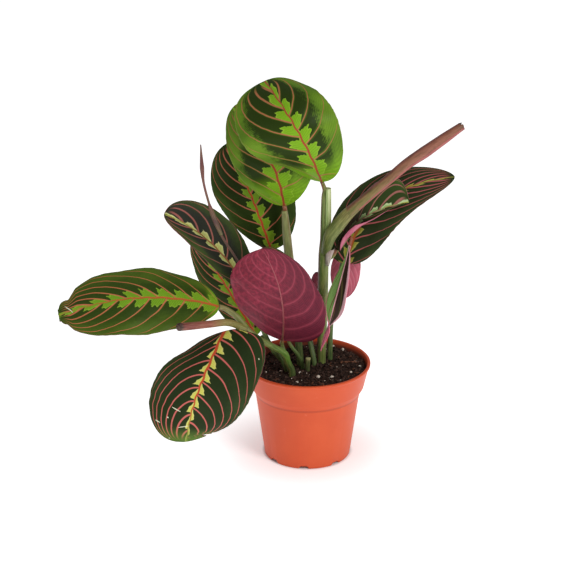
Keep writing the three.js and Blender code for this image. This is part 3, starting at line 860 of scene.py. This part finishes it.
scratch_paint, shader = new_material("dry_scratch")
grain = cloud(source(shader, "ShaderNodeTexCoord", "Object"), 900, 2)
put(shader.inputs["Base Color"], blend(grain, paint(196, 196, 150), paint(244, 244, 224)))
put(shader.inputs["Roughness"], 0.8)
scratches("leaf_front", FRONT, [
    (0.745, 0.45, 0.76, 0.24, 0.9), (0.88, 0.29, 0.86, 0.0, 0.8), (0.855, 0.88, 0.865, 0.77, 1),
    (0.82, 0.56, 0.825, 0.52, 1.2), (0.965, 0.83, 0.96, 0.78, 1.3), (0.145, -0.85, 0.155, -0.87, 1.1),
])
scratches("leaf_left", LEFT, [(0.955, 0.52, 0.915, -0.1, 1.0)])


# ---------------------------------------------------------------- shaded leaves
# Older leaves stand behind and between the stems, dark green with a short lime or cream feather.

SHADED = DARK | dict(
    edge=paint(58, 80, 28), edge_light=paint(66, 90, 34), field=paint(40, 56, 18),
    feather=paint(124, 166, 40), rim=paint(160, 190, 76),
    vein=paint(190, 108, 84),
    marks=dict(veins=8.4, start=0.03, lean=0.58, bow=1.05, vein_width=1.1, feather=7.5,
               fill=0.25, plump=0.9, teeth=0.35),
)
DUSKY = SHADED | dict(
    edge=paint(52, 66, 32), edge_light=paint(62, 78, 36), field=paint(42, 44, 36),
    field_end=(0.6, 0.75), vein=paint(150, 88, 80), rib=paint(140, 96, 60),
    feather=paint(176, 180, 104), rim=paint(214, 212, 150), comb=0.2,
    marks=dict(veins=6.4, start=0.02, lean=0.56, bow=1.2, vein_width=1.1,
               feather=4.8, fill=-0.25, plump=0.6, teeth=0.3, seed=0.2),
)
BRONZE = SHADED | dict(
    edge=paint(48, 62, 32), edge_light=paint(56, 70, 36), field=paint(38, 48, 24),
    vein=paint(166, 84, 86), rib=paint(160, 88, 44), feather=paint(140, 138, 50),
    rim=paint(182, 180, 100),
    marks=SHADED["marks"] | dict(veins=9, start=0.1, lean=0.5, feather=4.5, fill=-0.1,
                                 plump=0.3),
)
# half curled over, so its pale feather lies along the fold; its base, inside the curl, is painted dark as
# shade
CURLED = SHADED | dict(
    vein=paint(146, 92, 84), feather=paint(138, 170, 104), rim=paint(206, 214, 170),
    rib=paint(150, 104, 84), under=paint(170, 84, 108), under_light=paint(190, 104, 126),
    under_vein=paint(206, 130, 146), shade=(0.4, 0.72, 0.85, paint(40, 26, 24)),
    marks=SHADED["marks"] | dict(veins=7, feather=5, lean=0.45),
)
# folded along its midrib and hanging, with one broad pale pink margin turned forward, painted paler
# where it catches the light; one half is painted a bright lit green, the other dark as painted shade
HANGING = SHADED | dict(
    edge=paint(92, 126, 62), edge_light=paint(112, 144, 78), field=paint(50, 36, 28),
    feather=paint(96, 122, 62), field_end=(1.4, 0.05), soft=0.12,
    hem=paint(224, 172, 182), hem_band=(0.68, 0.78, 0.95), one_hem=True,
    vein=paint(86, 58, 40), rib=paint(206, 150, 156), rib_tip=paint(206, 140, 150),
    under=paint(214, 98, 124), under_light=paint(228, 118, 142), under_vein=paint(226, 150, 168),
    marks=SHADED["marks"] | dict(veins=4, vein_width=0.8, feather=0.1, lean=1.2),
)
PINK_BACK = SHADED | dict(
    under=paint(182, 84, 104), under_light=paint(200, 104, 122), under_vein=paint(216, 136, 150),
)

BACK_LEFT = dict(
    base=(-35, 24, 198), middle=(-52, 16, 252), tip=(-74, 36, 299),
    face=(-0.1, -0.95, 0.2),
    width=(33, 38), wide=(0.62, 0.5), cup=(-15, -10), wave=(1.5, 2.5, 2),
    blunt=(0.45, 0.45),
)
MID_LEFT = dict(
    base=(-54, -12, 164), middle=(-86, -20, 217), tip=(-129, -36, 253),
    face=(-0.1, -0.9, 0.6), fold=(15, 10),
    width=(16, 27), wide=(0.55, 0.6), cup=(10, 20), wave=(1.2, 2.5, 0),
    blunt=(0.5, 0.45),
)
LOW_LEFT = dict(
    base=(-49, 0, 120.5), middle=(-79.5, 12, 170), tip=(-105, 14, 214),
    face=(-0.4, -0.8, 0.3),
    width=(22.5, 31), wide=(0.48, 0.5), cup=(-10, -10), wave=(1.5, 2.5, 3),
    blunt=(0.56, 0.5),
)
RIGHT = dict(
    base=(36, 8, 190), middle=(67, 18, 246), tip=(136, 26, 269),
    face=(0, -0.85, 0.5),
    width=(26, 28), wide=(0.34, 0.38), cup=(10, 15), wave=(1.2, 2.5, 2),
    blunt=(0.6, 0.6),
)
CURL_RIGHT = dict(
    base=(25.8, -2, 208), middle=(49.5, 0, 237), tip=(92.5, 5, 251),
    face=(-0.2, -0.95, -0.1), fold=(0, 10),
    width=(29, 14), wide=(0.85, 0.3), cup=(10, 170), wave=(0.6, 2, 0),
    blunt=(0.5, 0.8), torn=((1, 0.9, 0.5, 0.75),),
)
FOLDED = dict(
    base=(38, -9, 214), middle=(25, -18, 162), tip=(12, -22, 114),
    face=(-0.9, -1.8, 0), face_tip=(0.9, 0.5, 0),
    width=(10, 10), wide=(0.5, 0.57), cup=(40, 50), wave=(0.6, 2, 0),
    blunt=(1, 1.4),
)
LOW_RIGHT = dict(
    base=(41, 30, 206), middle=(37, 30, 176), tip=(37, 28, 148),
    face=(0.1, 0.95, 0.2),
    width=(15, 13.5), wide=(0.55, 0.5), cup=(5, 5), wave=(0.8, 2, 0),
    blunt=(0.5, 0.6),
)
BEHIND = dict(
    base=(-17, -6, 123), middle=(-22, -8, 168), tip=(-45, -14, 211),
    face=(0.1, -0.9, 0.4),
    width=(20, 19), wide=(0.5, 0.66), cup=(5, 5), wave=(1, 2.5, 0),
    blunt=(0.5, 0.5),
)
SMALL = dict(
    base=(2, 34, 112), middle=(7, 34, 143), tip=(9, 34, 172),
    face=(0.3, 0.9, 0.2),
    width=(8, 8), wide=(0.5, 0.5), cup=(40, 40), wave=(0.5, 2, 0),
    blunt=(0.5, 0.5),
)
blade("leaf_back_left", BACK_LEFT, SHADED)
blade("leaf_mid_left", MID_LEFT, DUSKY)
blade("leaf_low_left", LOW_LEFT, SHADED)
blade("leaf_right", RIGHT, BRONZE)
blade("leaf_curl_right", CURL_RIGHT, CURLED)
blade("leaf_folded", FOLDED, HANGING, 90, 30)
blade("leaf_low_right", LOW_RIGHT, PINK_BACK, 90, 40)
blade("leaf_behind", BEHIND, SHADED, 90, 40)
blade("leaf_small", SMALL, SHADED, 60, 24)


# ---------------------------------------------------------------- purple leaf
# A leaf in the middle turns its wine-red underside forward.

WINE = DARK | dict(
    slot="leaf_purple", under=paint(136, 40, 58), under_light=paint(162, 54, 76),
    under_vein=paint(176, 74, 92), dim=0.8, under_dim=paint(82, 24, 42), mottle=0.75,
    marks=dict(veins=8, start=0.06, lean=0.42, bow=1.2, vein_width=0.75),
)
PURPLE = dict(
    base=(-24, -10, 120), middle=(-25, -46, 180), tip=(-41, -66, 231),
    face=(0.15, 0.85, 0.3), face_tip=(0.3, 0.85, 0.3),
    width=(39, 48), wide=(0.29, 0.5), cup=(12, 8), wave=(1.5, 2.5, 0),
    blunt=(0.5, 0.5),
)
blade("leaf_purple", PURPLE, WINE)


# ---------------------------------------------------------------- main stem
# The thickest shoot, from the back of the pot to the top leaf. Green with a yellow painted highlight
# down its right flank, it is clasped by a pale sheath whose edge stands open; a silvery papery scale
# sits where stalks part.

PEAT_FOOT = 76                    # stalks start this high, under the peat's surface
ROUND = (0, 360)
GREEN = paint(88, 116, 58)
DEEP_GREEN = paint(66, 92, 48)
OLIVE_STEM = paint(122, 126, 66)
RED_BROWN = paint(140, 66, 50)
MAROON = paint(104, 48, 50)
YELLOW_HIGHLIGHT = paint(186, 186, 118)


def part_way(a, b, start, end, t):
    """What is a at start and b at end, and in proportion for any other t."""
    return a * ((end - t) / (end - start)) + b * ((t - start) / (end - start))


def smooth_path(points, steps):
    """Centres and radii along a centripetal curve through (x, y, z, radius)."""
    spots = [Vector(point[:3]) for point in points]
    spots = [spots[0] * 2 - spots[1]] + spots + [spots[-1] * 2 - spots[-2]]
    path = []
    for k in range(len(points) - 1):
        p = spots[k:k + 4]
        t = [0.0]
        for a, b in zip(p, p[1:]):
            t.append(t[-1] + max((b - a).length, 1e-4) ** 0.5)
        for i in range(steps + (k == len(points) - 2)):
            x = t[1] + (t[2] - t[1]) * i / steps
            a1, a2, a3 = (part_way(p[j], p[j + 1], t[j], t[j + 1], x) for j in range(3))
            b1, b2 = part_way(a1, a2, t[0], t[2], x), part_way(a2, a3, t[1], t[3], x)
            radius = points[k][3] + (points[k + 1][3] - points[k][3]) * i / steps
            path.append((part_way(b1, b2, t[1], t[2], x), radius))
    return path


def skin_over(points, steps, angles, swell=None, lean=0.0):
    """A bmesh sheet round a smooth path, between two angles in degrees or all the way round.

    Angle 0 is to the plant's right and 90 to its back on an upright path. swell changes the radius
    with the share of the length and the share of the way round; lean turns the sheet as it climbs.
    """
    path = smooth_path(points, steps)
    first, last = angles
    sides = max(6, round(abs(last - first) / 15))
    centres = [centre for centre, _ in path]
    reach = [0.0]
    for a, b in zip(centres, centres[1:]):
        reach.append(reach[-1] + (b - a).length)
    side, frames = Vector((1, 0, 0)), []
    for i in range(len(path)):
        along = unit(centres[min(i + 1, len(path) - 1)] - centres[max(i - 1, 0)])
        side = unit(side - along * side.dot(along))
        frames.append((side, along.cross(side)))
    bm = bmesh.new()
    skin = bm.loops.layers.uv.new("skin")
    share = bm.verts.layers.float.new("along")
    bmesh.ops.create_grid(bm, x_segments=len(path) - 1, y_segments=sides, size=0.5)
    mark = {}
    for vert in bm.verts:
        i, j = round((vert.co.x + 0.5) * (len(path) - 1)), round((vert.co.y + 0.5) * sides)
        part, way = reach[i] / reach[-1], j / sides
        angle = math.radians(first + (last - first) * way + lean * part)
        radius = path[i][1] * (swell(part, way) if swell else 1)
        across, up = frames[i]
        vert.co = (centres[i] + (across * math.cos(angle) + up * math.sin(angle)) * radius) * MM
        vert[share] = part
        mark[vert] = (way, reach[i] / 10)
    for face in bm.faces:
        for loop in face.loops:
            loop[skin].uv = mark[loop.vert]
    if abs(last - first) >= 360:
        bmesh.ops.remove_doubles(bm, verts=bm.verts, dist=1e-7)
        bmesh.ops.holes_fill(bm, edges=[edge for edge in bm.edges if edge.is_boundary], sides=0)
    bmesh.ops.recalc_face_normals(bm, faces=bm.faces)
    return bm


def long_fibres():
    """Fine streaks along a stalk's skin map, whose x runs round it and y along it in cm."""
    tree, given = new_group("long_fibres", {"Place": None})
    stretch = tree.nodes.new("ShaderNodeVectorMath")
    stretch.operation = "MULTIPLY"
    put(stretch.inputs[0], given["Place"])
    put(stretch.inputs[1], (9.0, 0.35, 1.0))
    fibre = cloud(Field(stretch.outputs[0]), 2.2, 4.0, 0.6)
    return give_out(tree, Fibre=fibre, Pale=fade(fibre, 0.42, 0.7), Dark=fade(fibre, 0.5, 0.3))


FIBRES = long_fibres()


def stalk_skin(name, stops, streak=0.25, roughness=0.5, pale=paint(206, 200, 130), flanks=()):
    """A stalk's skin: its colours by the share of its length, with fine long streaks.

    Each flank is a coloured band along it, from and to as shares of the way round.
    """
    material, shader = new_material(name)
    ramp = shader.id_data.nodes.new("ShaderNodeValToRGB")
    share = shader.id_data.nodes.new("ShaderNodeAttribute")
    share.attribute_name = "along"
    put(ramp.inputs["Fac"], Field(share.outputs["Fac"]))
    bands = ramp.color_ramp.elements
    while len(bands) < len(stops):
        bands.new(0.5)
    for stop, (position, tone) in zip(bands, stops.items()):
        stop.position, stop.color = position, tone
    colour = Field(ramp.outputs["Color"])
    skin = source(shader, "ShaderNodeUVMap", "UV")
    way = split(skin)[0]
    for start, end, tone in flanks:
        flank = band(way, start - 0.03, start + 0.03, end - 0.03, end + 0.03)
        colour = blend(flank * 0.8, colour, tone)
    fibres = placed(shader, FIBRES, place=skin)
    colour = blend(fibres["Pale"] * streak, colour, pale)
    colour = blend(fibres["Dark"] * streak, colour, paint(44, 54, 26))
    put(shader.inputs["Base Color"], colour)
    put(shader.inputs["Roughness"], roughness)
    put(shader.inputs["Specular IOR Level"], 0.4)
    bumped(shader, fibres["Fibre"], 0.0004, 0.6)
    return material


def grown(name, node, material, bm, thickness=0.0):
    piece = object_from(bm, name, material)
    if thickness:
        sheet = piece.modifiers.new("thickness", "SOLIDIFY")
        sheet.thickness = thickness * MM
        sheet.offset = 1
    fitted(piece, node)


def rooted(x, y, radius):
    """The upright foot of a stem, from inside the peat to a little over it."""
    return [(x, y, PEAT_FOOT, radius), (x, y, 88, radius)]


def straight_end(point, along, radius):
    """A stalk's last 7 mm, straight along its leaf, ending a hair before it."""
    return [(*(point - along * back), radius) for back in (7, 0.4)]


def stalk(name, node, material, points, leaf=None, end=0.0, steps=8):
    """A round stalk through (x, y, z, radius), which ends in a leaf's base with radius end."""
    if leaf:
        points = points + straight_end(*midrib(leaf, 0), end)
    grown(name, node, material, skin_over(points, steps, ROUND))


main_skin = stalk_skin("main_stem", {
    0.0: paint(70, 92, 48), 0.35: paint(98, 122, 58), 0.8: paint(88, 116, 54), 0.93: paint(104, 116, 60),
    0.96: RED_BROWN, 1.0: paint(126, 54, 44),
# the yellow flanks round the stem's right side are a painted highlight
}, flanks=[(0.42, 0.62, MAROON), (0.7, 0.88, paint(116, 132, 62)), (0.94, 1.1, YELLOW_HIGHLIGHT),
           (-0.1, 0.02, YELLOW_HIGHLIGHT)])
stalk("main_stem", "shoot_main", main_skin, rooted(13.5, 15, 4.1) + [
    (14.2, 8, 153, 5), (14.4, -1, 203, 4.8), (14.8, -4, 218, 4), (14.6, -5, 240, 3.4), (14.6, -6, 260, 2.8),
    (14.8, -4.5, 266, 2.1),
], TOP, 1.9)
sheath_skin = stalk_skin("pale_sheath", {
    0.0: paint(128, 148, 72), 0.5: paint(180, 194, 128), 1.0: paint(204, 214, 160),
}, 0.35, 0.4, paint(232, 236, 206), [(-0.1, 0.14, paint(122, 152, 66))])
grown("main_sheath", "shoot_main", sheath_skin, skin_over(
    [(16, -3.5, 208, 4.9), (16, -4, 218, 5), (16.2, -5, 240, 4.9), (16.2, -6, 260, 4.7),
     (16.4, -6, 268, 4.3)],
    8, (-98, 120), lambda part, way: 1 - 0.12 * part * abs(2 * way - 1)), 0.35)
scale_skin = stalk_skin("papery_scale", {
    0.0: paint(150, 142, 120), 0.5: paint(180, 166, 156), 1.0: paint(150, 120, 112),
}, 0.45, 0.5, paint(224, 216, 208))
grown("main_scale", "shoot_main", scale_skin, skin_over(
    [(16.6, -4, 194, 4.8), (17.4, -5, 200, 5.2), (18.6, -6.5, 207, 5.5), (19.8, -8, 212, 5)], 6, (-125, 10),
    lambda part, way: 1 - 0.75 * (1 - part) * abs(2 * way - 1)), 0.35)

# the rolled leaf, which rises from this stem, as (x, y, z, radius) of its scroll
ROLL = [(23.3, -14.5, 229.8, 5.4), (27.4, -14.5, 235.5, 5.8), (35.9, -13, 245.6, 5.4),
        (51.2, -11, 259.2, 4.6), (71.8, -9, 276.6, 4.5), (88.9, -5, 290.4, 4.9), (105.1, -1, 300.5, 5.5),
        (123.1, 3, 312.4, 4.8), (138.1, 7, 322.1, 3.7)]
rolled_stalk_skin = stalk_skin("rolled_leaf_stalk", {
    0.0: paint(84, 100, 42), 0.55: paint(98, 108, 46), 0.8: paint(112, 106, 54), 1.0: paint(110, 94, 54),
})
roll_foot, roll_next = (Vector(spot[:3]) for spot in ROLL[:2])
stalk("rolled_leaf_stalk", "shoot_main", rolled_stalk_skin,
      [(16, -4, 206, 4.4)] + straight_end(roll_foot, unit(roll_next - roll_foot), 4.6))
grown("rolled_leaf_sheath", "shoot_main", rolled_stalk_skin, skin_over(
    [(16.6, -6, 208, 4.5), (18.4, -12, 218, 5.5), (20.6, -14.6, 226, 6.2), (27.4, -14.5, 235.5, 6.5),
     (35.9, -13, 245.6, 6), (43.5, -12, 252.4, 5.1)],
    8, (50, 318), lambda part, way: 1 - 0.04 * part), 0.35)
petiole_skin = stalk_skin("petiole", {
    0.0: GREEN, 0.6: OLIVE_STEM, 0.85: RED_BROWN, 1.0: paint(126, 60, 48),
})
stalk("curl_right_stalk", "shoot_main", petiole_skin, [(16, 0, 196, 2)], CURL_RIGHT, 1.7, 6)
stalk("folded_stalk", "shoot_main", petiole_skin,
      [(16, -1, 196, 1.6), (23, 2, 201, 1.5), (31, 1, 210, 1.4), (37, -1, 219, 1.3)], FOLDED, 1.2, 6)


# ---------------------------------------------------------------- other upright stems
# Thinner shoots behind the main one carry the second, back, right and hidden leaves. They are
# green below and browner above, and the second's sheath splits to show a purple-brown stalk.

def split_open(part, way):
    # its edges part below, where they lie sunk in the stalk and leave its front bare
    gape = 0.2 * max(0, 1 - part / 0.72)
    return 0.75 if abs(way - 0.76) < gape else 1


second_skin = stalk_skin("second_stem", {
    0.0: DEEP_GREEN, 0.42: paint(98, 116, 62), 0.55: paint(96, 62, 58), 0.93: paint(130, 72, 56),
    1.0: paint(150, 78, 56),
})
stalk("second_stem", "shoot_second", second_skin, rooted(-7, 13, 3.4) + [
    (-13, 8, 153, 3.6), (-17, 6, 190, 3.4), (-19.6, 4, 222, 2.8), (-21, 5, 236, 2.2),
], SECOND, 2)
second_sheath_skin = stalk_skin("second_sheath", {
    0.0: paint(104, 124, 66), 0.6: paint(122, 128, 74), 1.0: paint(138, 140, 84),
}, 0.3, 0.45, paint(178, 186, 130), [(0.46, 0.56, MAROON), (0.84, 1.1, paint(126, 110, 66))])
grown("second_sheath", "shoot_second", second_sheath_skin, skin_over(
    [(-13.5, 7.6, 158, 4), (-15, 7, 172, 4.1), (-17, 6, 190, 4.1), (-20, 4, 222, 3.7), (-21.2, 4.6, 236, 3),
     (-21.8, 4.2, 243, 2.5)], 10, ROUND, split_open), 0.3)
back_skin = stalk_skin("back_stem", {
    0.0: DEEP_GREEN, 0.7: GREEN, 0.92: OLIVE_STEM, 1.0: paint(132, 90, 56),
})
stalk("back_stem", "shoot_back", back_skin,
      rooted(6.5, 11, 2.5) + [(-2, 25, 120, 2.6), (-20, 27, 160, 2.4)], BACK_LEFT, 2)
stalk("small_stalk", "shoot_back", back_skin, [(6, 13, 92, 2), (4, 24, 99, 1.8)], SMALL, 1.4, 6)
stalk("purple_stalk", "shoot_purple", back_skin, rooted(-21, -2, 1.9) + [(-22, -4, 104, 1.9)], PURPLE, 1.8, 6)
stalk("behind_stalk", "shoot_behind", back_skin, rooted(-5, 5, 2) + [(-8.5, 2, 98, 1.9)], BEHIND, 1.6, 6)
stalk("right_stem", "shoot_right", back_skin,
      rooted(22, 20, 2.5) + [(23, 20, 130, 2.4), (29, 14, 165, 2.3)], RIGHT, 2.2)
stalk("low_right_stalk", "shoot_right", back_skin,
      [(26.5, 16, 152, 1.8), (32, 21, 185, 1.6), (36, 24, 208, 1.5), (39, 28, 216, 1.4)], LOW_RIGHT, 1.3, 6)
cut_skin = stalk_skin("cut_stem", {
    0.0: paint(42, 52, 28), 0.6: paint(64, 78, 42), 0.85: paint(92, 104, 58), 1.0: paint(160, 156, 104),
})
stalk("cut_stem", "shoot_stub", cut_skin, rooted(0, -2, 2.3) + [(0.5, -2, 98, 2.4)])


# ---------------------------------------------------------------- front shoot
# A bright green stalk leans out over the pot's front edge and forks to the left and front leaves.
# Beside them a reddish stub ends in a cut painted dark, as the shade in its hollow.

front_skin = stalk_skin("front_stem", {
    0.0: paint(58, 78, 38), 0.2: paint(70, 94, 42), 0.32: paint(92, 140, 42), 0.5: paint(84, 116, 46),
    1.0: paint(112, 112, 64),
}, flanks=[(0.55, 0.7, paint(128, 138, 72))])
stalk("front_stem", "shoot_front", front_skin, rooted(-15, -10, 3.2) + [
    (-18.5, -11.5, 97, 3), (-22, -14, 107.5, 3.4), (-34, -21, 118.5, 2.8), (-46, -30, 130, 2.7),
    (-58, -37, 143.5, 3.1),
])
stalk("front_stalk", "shoot_front", petiole_skin, [(-58, -37, 143.5, 3)], FRONT, 2)
left_skin = stalk_skin("left_stalk", {
    0.0: paint(104, 116, 60), 0.6: paint(120, 122, 70), 1.0: paint(136, 126, 80),
}, flanks=[(0.45, 0.6, paint(128, 84, 66))])
stalk("left_stalk", "shoot_front", left_skin, [(-58, -37, 143.5, 3.1), (-65, -35, 153, 3)], LEFT, 2.4)
# the last stop paints the closed cut end dark, as painted shade in the stub's hollow
stub_skin = stalk_skin("reddish_stub", {
    0.0: paint(116, 124, 60), 0.35: paint(140, 128, 70), 0.55: paint(150, 88, 72), 0.95: paint(122, 62, 60),
    0.99: paint(56, 32, 30),
}, pale=paint(206, 168, 140))
stalk("stub", "shoot_front", stub_skin, [
    (-58, -37, 143, 3.1), (-73.1, -51, 154.6, 3.3), (-88.5, -66, 159.3, 3.3), (-100.9, -81, 164, 3.4),
    (-113.8, -97, 169.3, 3.6),
], steps=10)


# ---------------------------------------------------------------- left shoot and flower stalk
# A thin shoot carries the two shaded left leaves. A spent flower stalk rises from it, purple-brown,
# with a withered bract halfway and a dry spike at its end.

left_shoot_skin = stalk_skin("left_shoot", {0.0: DEEP_GREEN, 0.7: GREEN, 1.0: OLIVE_STEM})
stalk("left_shoot", "shoot_left", left_shoot_skin,
      rooted(-23, 8, 2.5) + [(-32, 4, 102, 2.4), (-41, -3, 124, 2.3)], MID_LEFT, 2)
stalk("low_left_stalk", "shoot_left", left_shoot_skin,
      [(-34, 3, 106, 2.1), (-43, 0, 119, 2)], LOW_LEFT, 1.9, 6)
flower_skin = stalk_skin("flower_stalk", {
    0.0: paint(100, 96, 62), 0.25: paint(98, 66, 58), 0.4: paint(76, 42, 48), 0.74: paint(104, 72, 56),
    0.8: paint(110, 58, 60), 1.0: paint(96, 50, 50),
}, 0.15)
stalk("flower_stalk", "shoot_left", flower_skin, [
    (-41, -4, 127, 1.3), (-47, -15, 157, 1.2), (-57.1, -25, 189.9, 1.1), (-67.5, -31, 212.4, 1.1),
    (-77, -36, 230.4, 1.2), (-84.5, -40, 250.7, 1.2), (-89.4, -41, 267.8, 1.1), (-93, -42, 284.7, 1.1),
    (-94, -42, 297.5, 2), (-94.8, -41, 318.5, 0.5),
])
grown("flower_bract", "shoot_left", flower_skin, skin_over(
    [(-78.4, -36.8, 234, 1.3), (-82.2, -38.8, 244, 2), (-86.2, -40.3, 256, 2.1), (-88, -40.8, 262, 1.3),
     (-89.4, -41, 267.8, 0.4)], 8, (-150, 60)), 0.25)


# ---------------------------------------------------------------- midrib backs
# The stalk runs on under each blade as a raised rounded rib, rose on the wine-red underside.

rib_skin = stalk_skin("midrib_back", {
    0.0: paint(112, 74, 50), 0.25: paint(128, 48, 60), 0.6: paint(160, 78, 88), 1.0: paint(158, 78, 92),
}, 0.12)


def rib_under(leaf, radius):
    """Points of the midrib's round back, under a blade from its base nearly to its tip."""
    spots = []
    for i in range(9):
        s = i / 8 * 0.94
        thick = radius * (1 - 0.8 * s)
        centre = leaf_point(leaf, s, 0) - leaf_frame(leaf, s)[2] * (0.1 + thick * 0.8)
        spots.append((*centre, thick))
    return spots


for node, leaf in leaves.items():
    radius = 0.9 if leaf["width"][0] > 18 else 0.7
    stalk(node + "_rib", node, rib_skin, rib_under(leaf, radius), steps=4)


# ---------------------------------------------------------------- rolled leaf
# The newest leaf is still rolled into a long scroll, olive at its foot and pinkish brown above,
# with its free edge winding round it and a ragged dry tip.

def scroll(part, way):
    # wound one and a half times; the inner turn is tighter, and the end is frayed
    fray = 1 - 0.25 * max(0, part - 0.96) / 0.04 * abs(noise.noise(Vector((9 * way, 0, 3))))
    return (0.8 + 0.2 * way) * fray


roll_skin = stalk_skin("rolled_leaf", {
    0.0: paint(94, 100, 46), 0.3: paint(116, 108, 56), 0.5: paint(128, 90, 62), 0.75: paint(142, 88, 70),
    0.95: paint(134, 82, 60), 1.0: paint(96, 66, 44),
}, 0.35, 0.5, paint(168, 112, 92), [
    # a pink band, a dark band of painted shadow just beside the free edge, and a dark maroon band
    (0.34, 0.44, paint(164, 78, 80)), (0.3, 0.335, paint(56, 30, 26)), (0.7, 0.88, paint(104, 50, 48)),
])
roll_mesh = skin_over(ROLL, 14, (-245, 295), scroll, -15)
last_but_one, last = (Vector(spot[:3]) for spot in ROLL[-2:])
share = roll_mesh.verts.layers.float["along"]
for vert in roll_mesh.verts:
    if vert[share] > 0.985:
        vert.co += unit(last - last_but_one) * noise.noise(vert.co * 700) * 5 * MM
grown("rolled_leaf", "leaf_rolled", roll_skin, roll_mesh, 0.45)
